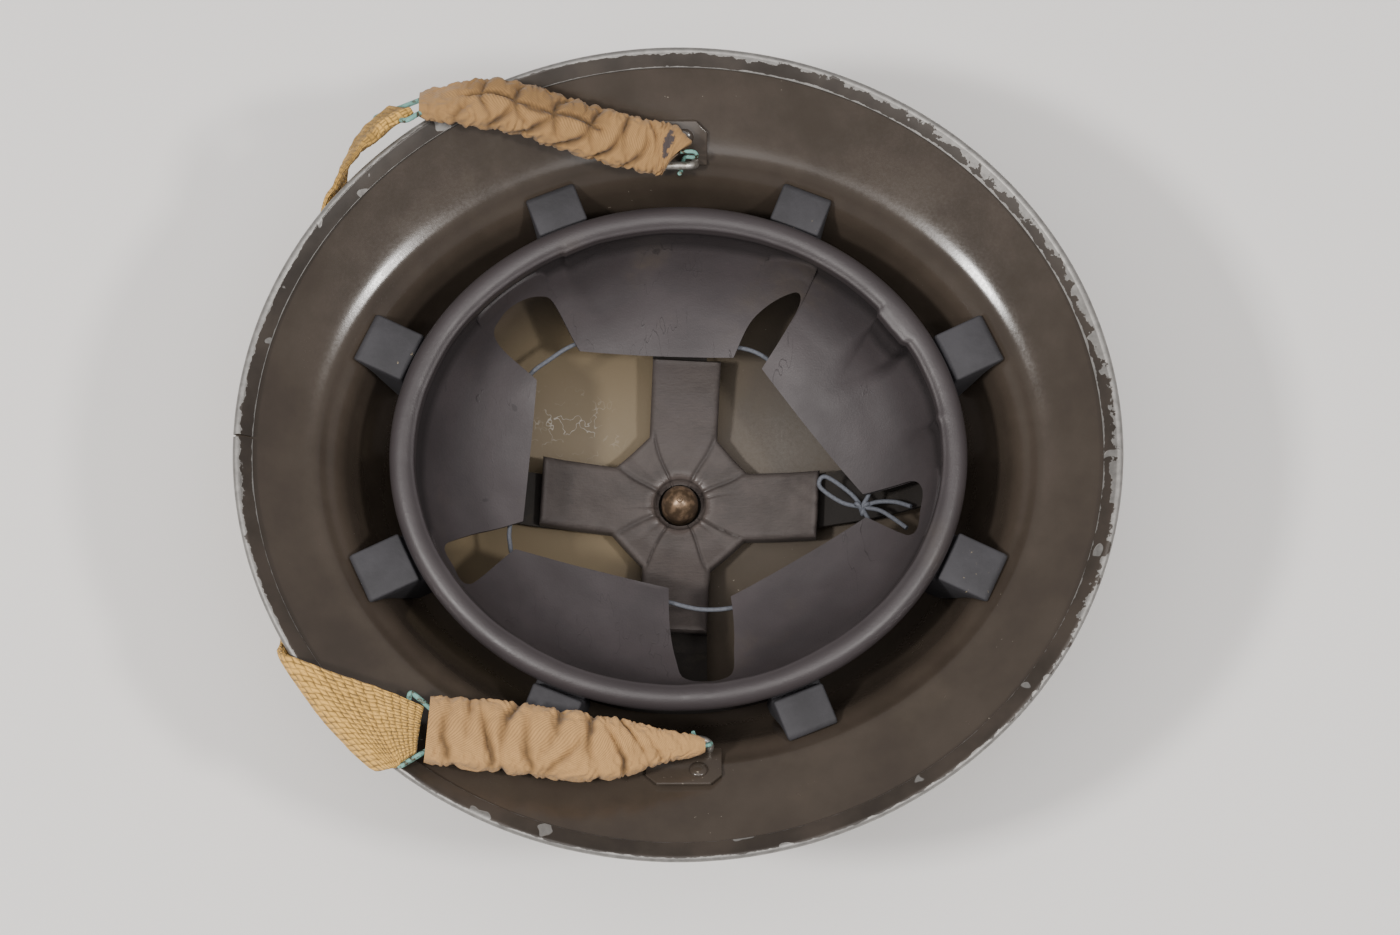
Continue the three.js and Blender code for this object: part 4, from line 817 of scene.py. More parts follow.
def oilcloth_finish(colours):
    """Coated cloth gone dull, satin on the roll, with hair cracks and browned patches; the roll is painted
    darker as shade, and painted shade lies in the groove under it.
    """
    m = Finish("liner_oilcloth")
    place, roll = m.place(), m.mark("roll")
    dirt = m.group(soil_group(), Vector=place, Size=19.0, Spread=0.5)
    stretch = m.node("ShaderNodeMapping", Vector=place, Scale=(95.0, 22.0, 30.0)).outputs[0]
    lines = m.sum("ABSOLUTE", m.sum("SUBTRACT", m.noise(stretch, 1.0, 3.0, 0.6), 0.5))
    cracks = m.sum("MULTIPLY", m.step(lines, 0.006, 0.0), m.step(m.noise(place, 28.0, 2.0), 0.46, 0.62))
    cracks = m.sum("MULTIPLY", cracks, m.sum("SUBTRACT", 1.0, roll))
    spots = m.step(m.noise(place, 95.0, 2.0), 0.735, 0.76)
    grain = m.noise(place, 1500.0, 2.0)
    tone = m.step(m.noise(place, 26.0, 5.0), 0.3, 0.72)
    base = m.mix(tone, tint(colours.oilcloth, 0.8), tint(colours.oilcloth, 1.2))
    base = m.mix(m.sum("MULTIPLY", dirt["Patch"], 0.5), base, solid(colours.rubbed))
    # Painted shade: the roll is a darker copy of the oilcloth.
    base = m.mix(m.sum("MULTIPLY", roll, 0.6), base, tint(colours.oilcloth, 0.75))
    base = m.mix(m.sum("MULTIPLY", m.sum("MAXIMUM", cracks, spots), 0.5), base, tint(colours.oilcloth, 0.3))
    # Painted shade in the groove under the roll and where the roll curls into the bowl.
    base = m.mix(m.sum("MULTIPLY", m.mark("fold"), 0.8, clamp=True), base, tint(colours.oilcloth, 0.25))
    rough = m.sum("MULTIPLY_ADD", m.noise(place, 70.0, 4.0), 0.24, 0.44)
    rough = m.sum("SUBTRACT", rough, m.sum("MULTIPLY", roll, 0.12))
    height = m.sum("MULTIPLY_ADD", grain, 0.4, m.sum("MULTIPLY", m.noise(place, 260.0, 4.0, 0.6), 0.7))
    height = m.sum("SUBTRACT", height, cracks)
    return m.done(Base_Color=base, Roughness=rough, Normal=m.bump(height, 0.28, 0.0005))


def pad_finish(colours):
    """Dusty cloth of the crown pad, rubbed shiny round its recess, with a painted highlight round the recess
    and painted shade in its creases and recess.
    """
    m = Finish("pad_cloth_dull")
    place, rubbed = m.place(), m.mark("rubbed")
    dirt = m.group(soil_group(), Vector=place, Size=34.0, Spread=0.6)
    threads = m.node("ShaderNodeMapping", Vector=place, Scale=(260.0, 1500.0, 400.0)).outputs[0]
    lines = m.noise(threads, 1.0, 3.0)
    tone = m.step(m.noise(place, 70.0, 5.0, 0.6), 0.3, 0.7)
    base = m.mix(tone, tint(colours.pad, 0.78), tint(colours.pad, 1.2))
    base = m.mix(m.sum("MULTIPLY", m.step(lines, 0.35, 0.75), 0.3), base, tint(colours.pad, 1.5))
    base = m.mix(m.sum("MULTIPLY", dirt["Patch"], 0.4), base, solid(colours.oilcloth))
    # Painted highlight: a lighter ring round the recess where the cloth glints.
    base = m.mix(m.sum("MULTIPLY", rubbed, 0.5), base, tint(colours.pad, 1.9))
    # Painted shade in the creases, the recess and under the pad's edge.
    base = m.mix(m.sum("MULTIPLY", m.mark("fold"), 0.4, clamp=True), base, tint(colours.pad, 0.3))
    rough = m.sum("SUBTRACT", m.sum("MULTIPLY_ADD", lines, 0.2, 0.6), m.sum("MULTIPLY", rubbed, 0.38))
    height = m.sum("ADD", lines, m.noise(place, 900.0, 2.0))
    return m.done(Base_Color=base, Roughness=rough, Normal=m.bump(height, 0.3, 0.0004))


def sleeve_finish(name, cloth, stain):
    """Tan twill, soiled in patches, with painted shade in its folds and a few dark spots."""
    m = Finish(name)
    place = m.place()
    weave = m.group(weave_group(), Vector=m.uv(), Warp=0.075, Weft=0.07, Twill=1.0)
    dirt = m.group(soil_group(), Vector=place, Size=60.0, Spread=0.5)
    base = m.mix(weave["Height"], tint(cloth, 0.66), tint(cloth, 1.08))
    base = m.mix(m.sum("MULTIPLY", weave["Thread"], 0.35), base, tint(cloth, 1.3))
    base = m.mix(m.sum("MULTIPLY", dirt["Patch"], 0.45), base, tint(cloth, 0.62))
    # Painted shade in the sleeve's valleys, behind its tuck and over its inside.
    base = m.mix(m.sum("MULTIPLY", m.mark("fold"), 0.85, clamp=True), base, tint(cloth, 0.2))
    spots = m.step(m.sum("MULTIPLY", m.mark("stain"), m.noise(place, 230.0, 5.0, 0.65)), 0.31, 0.38)
    base = m.mix(m.sum("MULTIPLY", spots, stain), base, STAIN_BLACK)
    height = m.sum("ADD", weave["Height"], m.sum("MULTIPLY", dirt["Grain"], 0.6))
    return m.done(Base_Color=base, Roughness=0.92, Normal=m.bump(height, 0.4, 0.0004), Sheen_Weight=0.15)


def webbing_finish(colours):
    """Coarse ochre webbing with uneven threads."""
    m = Finish("webbing_ochre")
    place = m.place()
    weave = m.group(weave_group(), Vector=m.uv(), Warp=0.21, Weft=0.14, Twill=0.0)
    dirt = m.group(soil_group(), Vector=place, Size=45.0, Spread=0.55)
    cloth = colours.webbing
    base = m.mix(m.step(weave["Height"], 0.05, 0.75), tint(cloth, 0.34), tint(cloth, 1.12))
    base = m.mix(m.sum("MULTIPLY", m.step(weave["Thread"], 0.4, 0.7), 0.5), base, tint(cloth, 1.5))
    base = m.mix(m.sum("MULTIPLY", dirt["Patch"], 0.5), base, tint(cloth, 0.55))
    # Darker over the crumpled end, with painted shade in the hollows of its crumples.
    base = m.mix(m.sum("MULTIPLY", m.mark("soiled"), 0.8), base, tint(cloth, 0.3))
    height = m.sum("ADD", weave["Height"], m.sum("MULTIPLY", m.noise(place, 1400.0, 3.0), 0.7))
    return m.done(Base_Color=base, Roughness=0.95, Normal=m.bump(height, 0.8, 0.0009), Sheen_Weight=0.1)


def verdigris_finish(colours):
    """Brass wire under a chalky green tarnish."""
    m = Finish("verdigris_wire")
    place = m.place()
    crust = m.step(m.noise(place, 420.0, 5.0, 0.6), 0.36, 0.5)
    green = m.mix(m.noise(place, 900.0, 3.0), tint(colours.verdigris, 0.7), tint(colours.verdigris, 1.2))
    base = m.mix(crust, BRASS_BROWN, green)
    metallic = m.sum("MULTIPLY", m.sum("SUBTRACT", 1.0, crust), 0.7)
    rough = m.sum("MULTIPLY_ADD", crust, 0.45, 0.4)
    return m.done(Base_Color=base, Roughness=rough, Metallic=metallic, Normal=m.bump(crust, 0.4, 0.0003))


def rubber_finish(colours):
    """Dull grey rubber with tan chips."""
    m = Finish("buffer_rubber_grey")
    place = m.place()
    wear = m.group(worn_group(), Vector=place, Chips=0.2, Scratches=0.03)
    base = m.mix(m.step(wear["Tone"], 0.3, 0.7), tint(colours.rubber, 0.7), tint(colours.rubber, 1.35))
    chips = m.step(m.noise(place, 340.0, 4.0, 0.6), 0.725, 0.745)
    base = m.mix(m.sum("MAXIMUM", m.sum("MULTIPLY", wear["Chips"], 0.6), chips), base, RUBBER_TAN)
    height = m.sum("SUBTRACT", m.noise(place, 700.0, 3.0), chips)
    return m.done(Base_Color=base, Roughness=0.72, Normal=m.bump(height, 0.3, 0.0004))


def bronze_finish(colours):
    """Bronze gone brown, brighter where it is rubbed."""
    m = Finish("nut_bronze_brown")
    place = m.place()
    wear = m.group(worn_group(), Vector=place, Chips=0.2, Scratches=0.12)
    rub = m.step(m.noise(place, 260.0, 4.0), 0.42, 0.66)
    base = m.mix(rub, tint(colours.bronze, 0.55), tint(colours.bronze, 1.5))
    base = m.mix(wear["Scratches"], base, BRONZE_BRIGHT)
    rough = m.sum("MULTIPLY_ADD", wear["Tone"], 0.3, 0.22)
    return m.done(Base_Color=base, Roughness=rough, Metallic=0.55, Normal=m.bump(wear["Tone"], 0.15, 0.0004))


def fibre_finish(colours):
    """Dull brown pressed fibre, coloured near black as painted shade where the bands show in the gaps."""
    m = Finish("fibre_brown")
    place = m.place()
    dirt = m.group(soil_group(), Vector=place, Size=40.0, Spread=0.5)
    base = m.mix(m.noise(place, 130.0, 5.0), tint(colours.fibre, 0.6), tint(colours.fibre, 1.4))
    base = m.mix(m.sum("MULTIPLY", dirt["Patch"], 0.5), base, tint(colours.rubbed, 0.8))
    return m.done(Base_Color=base, Roughness=0.75, Normal=m.bump(m.noise(place, 900.0, 3.0), 0.2, 0.0004))


def lace_finish(colours):
    """Grey braided cord."""
    m = Finish("lace_grey")
    parts = m.node("ShaderNodeSeparateXYZ", Vector=m.mark("cord", "Vector")).outputs
    run = m.sum("MULTIPLY", parts["X"], 2600.0)
    turn = m.sum("MULTIPLY", parts["Y"], 4 * math.pi)
    ways = [m.sum("SINE", m.sum(kind, run, turn)) for kind in ("ADD", "SUBTRACT")]
    strand = m.sum("MAXIMUM", *ways)
    base = m.mix(m.step(strand, -0.4, 0.8), tint(colours.lace, 0.88), tint(colours.lace, 1.05))
    return m.done(Base_Color=base, Roughness=0.7, Normal=m.bump(strand, 0.08, 0.0003))


def bar_finish():
    """Steel of the lug bars, rubbed bright in places."""
    m = Finish("bar_steel")
    rub = m.step(m.noise(m.place(), 300.0, 4.0), 0.3, 0.6)
    return m.done(Base_Color=m.mix(rub, BAR_DARK, BAR_PALE), Roughness=0.38, Metallic=0.8)


def floor_finish(colours):
    """Pale floor with a faint unevenness."""
    m = Finish("floor_pale")
    base = m.mix(m.noise(m.place(), 3.0, 3.0), tint(colours.floor, 0.97), tint(colours.floor, 1.03))
    return m.done(Base_Color=base, Roughness=0.85)


# Properties

class HelmetSizes(bpy.types.PropertyGroup):
    """Sizes of the finished surfaces."""
    round_steps: IntProperty(
        name="Steps round", description="Steps round the shell and the rim", default=320, min=64, max=400)
    dents: FloatProperty(
        name="Dents", description="Depth of shallow dents in the shell", default=0.00035, unit="LENGTH")
    crease: FloatProperty(
        name="Crease", description="Height of the pressed crease where the brim starts", default=0.0007,
        unit="LENGTH")
    fold_depth: FloatProperty(
        name="Fold depth", description="Depth of the sleeve gathers over the usual one", default=1.0, min=0.0,
        max=1.5)
    lens: FloatProperty(
        name="Lens", description="Focal length of the camera", default=82.9, min=20.0, max=200.0,
        unit="CAMERA")
    distance: FloatProperty(
        name="Distance", description="From the camera to its aim", default=1.1, unit="LENGTH",
        subtype="DISTANCE")


def colour_property(name, words, default):
    """Colour property in linear light."""
    return FloatVectorProperty(
        name=name, description=words, subtype="COLOR", size=3, min=0.0, max=1.0, default=default)


class HelmetColours(bpy.types.PropertyGroup):
    """Colours of the finishes."""
    paint: colour_property("Paint", "Dark brown paint of the shell", (0.050, 0.039, 0.030))
    rubbed: colour_property("Rubbed paint", "Paler khaki of rubbed paint and cloth", (0.105, 0.084, 0.056))
    # Painted light: the khaki of the lit lower dome.
    khaki: colour_property("Khaki", "Faded paint low in the dome", (0.185, 0.140, 0.078))
    oilcloth: colour_property("Oilcloth", "Coated cloth of the lining", (0.050, 0.042, 0.044))
    pad: colour_property("Pad", "Dusty cloth of the crown pad", (0.060, 0.049, 0.045))
    # Painted shade: the fibre is darkened near black to stand for the shade where the bands show.
    fibre: colour_property("Fibre", "Pressed fibre of the bands", (0.014, 0.011, 0.009))
    rubber: colour_property("Rubber", "Grey rubber of the buffers", (0.031, 0.030, 0.034))
    sleeve: colour_property("Sleeve", "Tan cloth of the strap sleeves", (0.46, 0.26, 0.096))
    webbing: colour_property("Webbing", "Ochre strap webbing", (0.64, 0.37, 0.085))
    verdigris: colour_property("Verdigris", "Green tarnish of the links", (0.19, 0.40, 0.35))
    bronze: colour_property("Bronze", "Brown bronze of the nut", (0.20, 0.135, 0.085))
    lace: colour_property("Lace", "Grey cord of the lining", (0.10, 0.108, 0.128))
    floor: colour_property("Floor", "Pale floor", (0.86, 0.85, 0.83))


# Operators

class HELMET_OT_stage(bpy.types.Operator):
    """Pale floor, soft light and the camera"""
    bl_idname = "helmet.stage"
    bl_label = "Stage"

    def execute(self, context):
        sizes, colours = context.scene.helmet_sizes, context.scene.helmet_colours
        show = context.scene.collection.objects.link
        half, low = FLOOR["half"], -FLOOR["drop"]
        mesh = bpy.data.meshes.new("floor")
        corners = [(-half, -half, low), (half, -half, low), (half, half, low), (-half, half, low)]
        mesh.from_pydata(corners, [], [(0, 1, 2, 3)])
        mesh.materials.append(floor_finish(colours))
        floor = bpy.data.objects.new("floor", mesh)
        show(floor)
        world = bpy.data.worlds.new("soft_room")
        world.use_nodes = True
        background = world.node_tree.nodes["Background"].inputs
        background["Color"].default_value = ROOM["colour"]
        background["Strength"].default_value = ROOM["strength"]
        context.scene.world = world
        aim = Vector(LIGHT_AIM)
        for name, way, far, size, power, colour in LIGHTS:
            data = bpy.data.lights.new(name, "AREA")
            data.size, data.energy, data.color = size, power, colour
            lamp = bpy.data.objects.new(name, data)
            lamp.location = aim + Vector(way).normalized() * far
            lamp.rotation_mode = "QUATERNION"
            lamp.rotation_quaternion = (aim - lamp.location).to_track_quat("-Z", "Y")
            show(lamp)
        camera = bpy.data.objects.new("camera", bpy.data.cameras.new("camera"))
        camera.data.sensor_width, camera.data.lens = CAMERA["sensor"], sizes.lens
        camera.data.clip_start, camera.data.clip_end = CAMERA["near"], CAMERA["far"]
        rise = math.radians(CAMERA["rise"])
        away = Vector((0, -math.cos(rise), math.sin(rise)))
        camera.location = Vector(CAMERA["aim"]) + away * sizes.distance
        camera.rotation_euler = (math.pi / 2 - rise, 0, 0)
        show(camera)
        context.scene.camera = camera
        return {"FINISHED"}


class HELMET_OT_shell(bpy.types.Operator):
    """Pressed steel shell with its brim"""
    bl_idname = "helmet.shell"
    bl_label = "Shell"

    def execute(self, context):
        sizes, colours = context.scene.helmet_sizes, context.scene.helmet_colours
        angles = np.arange(sizes.round_steps) * FULL_TURN / sizes.round_steps
        bend, brim = BEND_ROWS
        coarse, fine = 0.25, 0.0625
        rows = np.concatenate([np.arange(0, bend, coarse), np.arange(bend, brim, fine),
                               np.linspace(brim, LAST_ROW, 9)])
        k, a = np.meshgrid(rows, angles)
        point, _, _, normal = shell_frame(k, a)
        dent = sum(ripple(point, size, seed) * share for size, seed, share in DENTS)
        near_rim, near_crown = (LAST_ROW - 0.3 - k) / 1.2, k / 1.5
        fade = np.clip(near_rim, 0, 1) * np.clip(near_crown, 0, 1)
        crease = sizes.crease / MM * np.exp(-((k - CREASE_ROW) / CREASE_SPREAD) ** 2)
        point = point + normal * (dent * fade * sizes.dents / MM + crease)[..., None]
        rings = np.concatenate([point, (point - normal * SHEET)[:, ::-1]], axis=1)
        x, y, z = np.moveaxis(point, -1, 0)
        inside = slice(0, len(rows))
        dome, dull, scuff = np.zeros((3, *rings.shape[:2]))
        # Painted light: the lower dome is painted khaki as a pool of light, full on the lit side toward the
        # table's turn and faint (0.15) on the shaded side.
        lit_side = np.clip(0.35 + 1.3 * np.cos(a - math.radians(DOME_LIGHT["turn"])), 0.15, 1)
        dome[:, inside] = lit_side * np.clip((DOME_LIGHT["height"] - z) / DOME_LIGHT["fade"], 0, 1)
        dull[:, inside] = np.clip((DULL["height"] - z) / DULL["fade"], 0, 1)
        off_x, off_y = (x - SCUFF["x"]) / SCUFF["long"], (y - SCUFF["y"]) / SCUFF["wide"]
        scuff[:, inside] = np.exp(-off_x ** 2 - off_y ** 2)
        mesh = lofted("shell_skin", rings, True, dome=dome, dull=dull, scuff=scuff)
        paint = paint_finish("shell_paint_brown", colours, chips=0.15, scratches=0.02)
        add_piece("shell_skin", mesh, paint, "shell_paint", "shell")
        return {"FINISHED"}


class HELMET_OT_rim(bpy.types.Operator):
    """Folded strip on the edge of the brim, with its butt joint"""
    bl_idname = "helmet.rim"
    bl_label = "Rim strip"

    def execute(self, context):
        sizes, colours = context.scene.helmet_sizes, context.scene.helmet_colours
        middle, radius = STRIP_FOLD["middle"], STRIP_FOLD["radius"]
        bend = np.linspace(math.pi / 2, -math.pi / 2, STRIP_FOLD["steps"])
        fold = [(middle + radius * math.cos(t), middle + radius * math.sin(t)) for t in bend]
        out_by, up_by = np.array(STRIP + fold + STRIP_BACK).T
        steps = sizes.round_steps * 2
        first = STRIP_JOINT["turn"] + STRIP_JOINT["gap"] / 2
        angles = np.radians(np.linspace(first, first + 360 - STRIP_JOINT["gap"], steps))
        point, out, _, normal = shell_frame(LAST_ROW, angles)
        dented = sum(ripple(point, size, seed) * depth for size, seed, depth in STRIP_DENTS)
        lift = normal[:, None] * (up_by + dented[:, None])[..., None]
        rings = point[:, None] + out[:, None] * out_by[:, None] + lift
        turn = np.degrees(angles) % 360
        paint_edge = STRIP_PAINT["edge"] - humps(turn, BARE_STEEL)
        inner_lip = STRIP[0][0] + CLEAR
        # Bare steel along the strip's inner lip: worn paint, and a painted highlight for the glint on that
        # edge.
        bare = out_by - paint_edge[:, None] + STRIP_PAINT["lip"] * (out_by < inner_lip)
        bare[:, -2:] = STRIP_PAINT["hidden"]
        worn = np.clip(STRIP_PAINT["ragged"] + humps(turn, RAGGED_EDGE), 0, 1)[:, None] + 0 * bare
        u, v = 1.45 * np.arange(steps), np.arange(len(out_by) + 1)
        mesh = lofted("rim_strip", rings, False, u, v, bare=bare, worn=worn)
        add_piece("rim_strip", mesh, rim_finish(colours), "rim_strip", "rim")
        return {"FINISHED"}


def tip_share(tongue, turn):
    """Share of the band radius where the straight tip of a tongue lies."""
    facing, reach = tongue[4:]
    return reach / np.cos(np.radians(turn - facing)) / band_radius(turn)


def lining_columns():
    """Turns where each column of the cloth leaves the roll and ends, and the share where it ends."""
    columns = []
    across_tongue, along_cut = 96, 52
    pace = np.array([0.016, 0.016, 1.0])
    for n, tongue in enumerate(TONGUES):
        turn = np.linspace(tongue[0], tongue[1], across_tongue)
        root = np.linspace(tongue[2], tongue[3], across_tongue)
        columns.append(np.stack([root, turn, tip_share(tongue, turn)], -1))
        following = TONGUES[(n + 1) % len(TONGUES)]
        lap = 360 if n == len(TONGUES) - 1 else 0
        edge = [columns[-1][-1], *[(t, t, share) for t, share in zip(*CUTS[n])],
                (following[2] + lap, following[0] + lap, tip_share(following, following[0]))]
        line = spline(np.array(edge) * pace, np.linspace(0, 1, 400))
        run = np.concatenate([[0], np.cumsum(np.linalg.norm(np.diff(line[:, 1:], axis=0), axis=1))])
        even = np.linspace(0, run[-1], along_cut)[1:-1]
        columns.append(np.stack([np.interp(even, run, line[:, i]) for i in range(3)], -1) / pace)
    columns = np.concatenate(columns)
    columns[:, 0] = np.maximum.accumulate(columns[:, 0])
    return columns


def pleat_pull(turn, blur):
    """How far the gathered top of the bowl is drawn in, with its lips softened over `blur` degrees."""
    turns = [(turn + off) % 360 for off in np.linspace(-blur, blur, 13)]
    return np.mean([np.interp(t, *PLEATS.T) for t in turns], axis=0)


def roll_rows(root, skirt):
    """Rows of the rolled edge from its skirt over the head band: radius, height, turn, fold (painted shade)
    and roll.
    """
    middle = band_radius(root)
    ring = polar(root, middle, 90.0)
    loose = 0.35 * ripple(ring, 24.0) + 0.2 * ripple(ring, 8.0, 4.0)
    off_seam = np.abs(root - SEAM["turn"]) / SEAM["half"]
    lap = SEAM["lift"] * np.clip(1 - off_seam, 0, 1) ** 0.25
    drawn = np.maximum(pleat_pull(root, PLEAT_LIP), 0)
    brow = RIDGE["at"] + RIDGE["wander"] * ripple(ring, 40.0, 9.0)
    rows = [(middle + skirt, SKIRT, root, 0.0, 0.0), (middle + skirt + CLOTH, SKIRT, root, 0.0, 0.0)]
    for degrees in np.linspace(*ROLL_ARC, 48):
        c, s = math.cos(math.radians(degrees)), math.sin(math.radians(degrees))
        inward = max(0.0, -c)
        ridge = RIDGE["height"] * np.exp(-((degrees - brow) / RIDGE["spread"]) ** 2)
        radius = ROLL + lap * max(0.0, s) + loose * (0.25 + 0.75 * inward) + ridge
        # Painted shade where the roll curls under into the bowl.
        fold = max(0.0, 1 - (ROLL_ARC[1] - degrees) / ROLL_SHADE)
        out, up = middle + radius * c - drawn * inward * 0.5, BAND["top"] + radius * s
        rows.append((out, up, root, fold, 1.0))
    return rows


def bowl_rows(root, turn, share):
    """Rows down the bowl's face to the tongues' tips and back up its under side, as in roll_rows."""
    tops, unders = [], []
    for w in np.linspace(0, 1, 45):
        at = root + (turn - root) * w
        here = BOWL_TOP + (share - BOWL_TOP) * w ** 0.85
        across = here * band_radius(at)
        tilt = np.arctan2(bowl_slope(here), band_radius(at))
        pull = pleat_pull(at, PLEAT_LIP + 9.0 * w)
        drawn_in, tucked = max(0.0, 1 - w / 0.7) ** 1.2, max(0.0, 1 - w / 0.4)
        drawn = pull * np.where(pull > 0, drawn_in, tucked)
        groove = math.exp(-((w - GROOVE["at"]) / GROOVE["spread"]) ** 2)
        flat = polar(at, across, bowl_height(here))
        soft = (0.75 * ripple(flat, 34.0, 2.0) + 0.3 * ripple(flat, 13.0, 6.0)) * min(1.0, 3 * w) - groove
        # Painted shade on the top face in the groove under the roll.
        for rows, depth, fold in ((tops, 0.0, groove), (unders, CLOTH, 0.0)):
            lower = depth - soft
            radius = across - drawn + lower * np.sin(tilt)
            rows.append((radius, bowl_height(here) - lower * np.cos(tilt), at, fold, 0.0))
    return tops + unders[::-1]


class HELMET_OT_lining(bpy.types.Operator):
    """Rolled and laced cloth lining on its head band"""
    bl_idname = "helmet.lining"
    bl_label = "Lining"

    def execute(self, context):
        colours = context.scene.helmet_colours
        root, turn, share = lining_columns().T
        middle = band_radius(root)
        half, top = BAND["half"], BAND["top"]
        skirt = half + 2 * CLEAR
        rows = roll_rows(root, skirt) + bowl_rows(root, turn, share)
        for radius in (middle - half - CLEAR, middle + skirt):
            rows.append((radius, top + CLEAR, root, 0.0, 0.0))
        rings = np.stack([polar(at, radius, z) for radius, z, at, _, _ in rows], axis=1)
        # fold carries painted shade; roll marks the rolled edge.
        fold, roll = (np.stack([row[n] + 0 * root for row in rows], axis=1) for n in (3, 4))
        mesh = lofted("liner_cloth", rings, True, smooth=60.0, fold=fold, roll=roll)
        cloth = add_piece("liner_cloth", mesh, oilcloth_finish(colours), "oilcloth", "lining")
        angles = np.linspace(0, FULL_TURN, 181)[:-1]
        outline = [(half, BAND["bottom"]), (half, top), (-half, top), (-half, BAND["bottom"])]
        rows = []
        for off, z in outline:
            x, y = (BAND["length"] + off) * np.cos(angles), (BAND["width"] + off) * np.sin(angles)
            rows.append(np.stack([x, y, z + 0 * angles], -1))
        rings = np.stack(rows, axis=1)
        oval = lofted("head_band_oval", rings, True)
        add_piece("head_band_oval", oval, fibre_finish(colours), "fibre", "headband")
        return {"FINISHED"}


def buffer_reach(foot, away, z):
    """Distance from the head band to just short of the shell at a height."""
    oval = spline(SHELL_ROWS, row_where(lambda row: row[2] > z) / LAST_ROW, even=True)[0]
    low, high = 0.0, 40.0
    for _ in range(30):
        middle = (low + high) / 2
        x, y = foot[:2] + away[:2] * middle
        low, high = (middle, high) if (x / oval[0]) ** 2 + (y / oval[1]) ** 2 < 1 else (low, middle)
    return low - BUFFER["clear"]


class HELMET_OT_buffers(bpy.types.Operator):
    """Rubber blocks between the head band and the wall"""
    bl_idname = "helmet.buffers"
    bl_label = "Buffers"

    def execute(self, context):
        material = rubber_finish(context.scene.helmet_colours)
        bottom, top, shelf = BUFFER["bottom"], BUFFER["top"], BUFFER["shelf"]
        for n, turn in enumerate(BUFFER_TURNS, 1):
            foot = polar(turn, band_radius(turn), 0.0)
            away = unit(foot / (BAND["length"] ** 2, BAND["width"] ** 2, 1))
            across = np.cross(away, (0, 0, 1.0))
            face = [(buffer_reach(foot, away, z), z) for z in BUFFER_FACE]
            profile = [(BUFFER["inner"], bottom), (face[0][0] - BUFFER["corner"], bottom), *face,
                       (face[-1][0] - BUFFER["corner"], top), (BUFFER["under_roll"], top),
                       (BUFFER["under_roll"] - BUFFER["lean"], shelf), (BUFFER["inner"], shelf)]
            sway = BUFFER["sway"] * math.sin(2.3 * n)

            def place(run, z, side):
                rise = (z - bottom) / (top - bottom)
                aside = side * (1 - BUFFER["taper"] * rise) + sway * rise
                return foot + away * run + across * aside + (0, 0, z)

            sides = (-BUFFER["half"], BUFFER["half"])
            mesh = prism(f"buffer_block_{n}", profile, place, sides, BUFFER["round"])
            add_piece(f"buffer_block_{n}", mesh, material, "buffer_rubber", f"buffer_{n}")
        return {"FINISHED"}


def pad_edge():
    """Turns round the crown pad, the distance to its edge there and the turn of an arm's shoulder."""
    arm, half, quarter = PAD["arm"], PAD["half"], math.pi / 2
    corner, shoulder = math.atan2(half, arm), math.atan2(half, PAD_HUB)
    stops = [0, corner, shoulder, quarter - shoulder, quarter - corner, quarter]
    counts = (12, 15, 21, 15, 12)
    first = np.concatenate([np.linspace(a, b, n)[:-1] for a, b, n in zip(stops, stops[1:], counts)])
    phi = np.concatenate([first + n * quarter for n in range(4)])
    c, s = np.abs(np.cos(phi)), np.abs(np.sin(phi))
    low, high = np.minimum(c, s), np.maximum(c, s)
    edge = np.minimum(arm / high, half / np.maximum(low, 1e-6))
    chamfer = np.minimum(arm / high, (half + PAD_HUB) / (low + high))
    return phi, np.where(edge * high < PAD_HUB, chamfer, edge), shoulder


def pad_creases(phi, shoulder, radius):
    """Depth from 0 to 1 of the creases that run out from the pad's recess."""
    deep = np.clip((CREASE["end"] - radius) / CREASE["fade"], 0, 1)
    left = (CREASE["loose_end"] - radius) / (CREASE["loose_end"] - PAD["recess"])
    shallow = 0.5 * np.clip(left, 0, 1) ** 1.5
    turns = [n * math.pi / 2 + sign * (shoulder + extra)
             for n, extra in enumerate(SHOULDER_CREASES) for sign in (1, -1)]
    fold = np.zeros_like(phi)
    for n, turn in enumerate([*turns, *LOOSE_CREASES]):
        wide = (0.75 + 0.25 * math.sin(5.1 * n)) / np.maximum(radius, 4)
        bent = turn + 0.03 * np.sin(0.22 * radius + 2.0 * n)
        off = np.abs((phi - bent + math.pi) % FULL_TURN - math.pi)
        fold = np.maximum(fold, (deep if n < len(turns) else shallow) * np.exp(-(off / wide) ** 2))
    return fold


def pad_top(phi, shoulder, radius):
    """Top of the crown pad at turns and distances from the middle, and its creases there."""
    x, y = radius * np.cos(phi), radius * np.sin(phi)
    far, near = np.maximum(abs(x), abs(y)), np.minimum(abs(x), abs(y))
    to_side = PAD["half"] - near
    to_chamfer = (PAD["half"] + PAD_HUB - far - near) * math.sqrt(0.5)
    to_edge = np.where(far > PAD_HUB, to_side, np.maximum(to_side, to_chamfer))
    gap = np.clip(np.minimum(PAD["arm"] - far, to_edge), 0, PAD["soft"])
    drop = PAD["soft"] - np.sqrt(np.maximum(PAD["soft"] ** 2 - (PAD["soft"] - gap) ** 2, 0))
    z = pad_seat(x, y) + PAD["thick"] - drop
    fold = pad_creases(phi, shoulder, radius)
    swell = 0.9 * np.exp(-((radius - PAD["recess"] - 3.5) / 5.0) ** 2)
    here = np.stack([x, y, z], -1)
    uneven = 0.4 * ripple(here, 14.0, 3.0) + 0.15 * ripple(here, 5.0)
    return x, y, z + swell - CREASE["depth"] * fold + uneven, fold


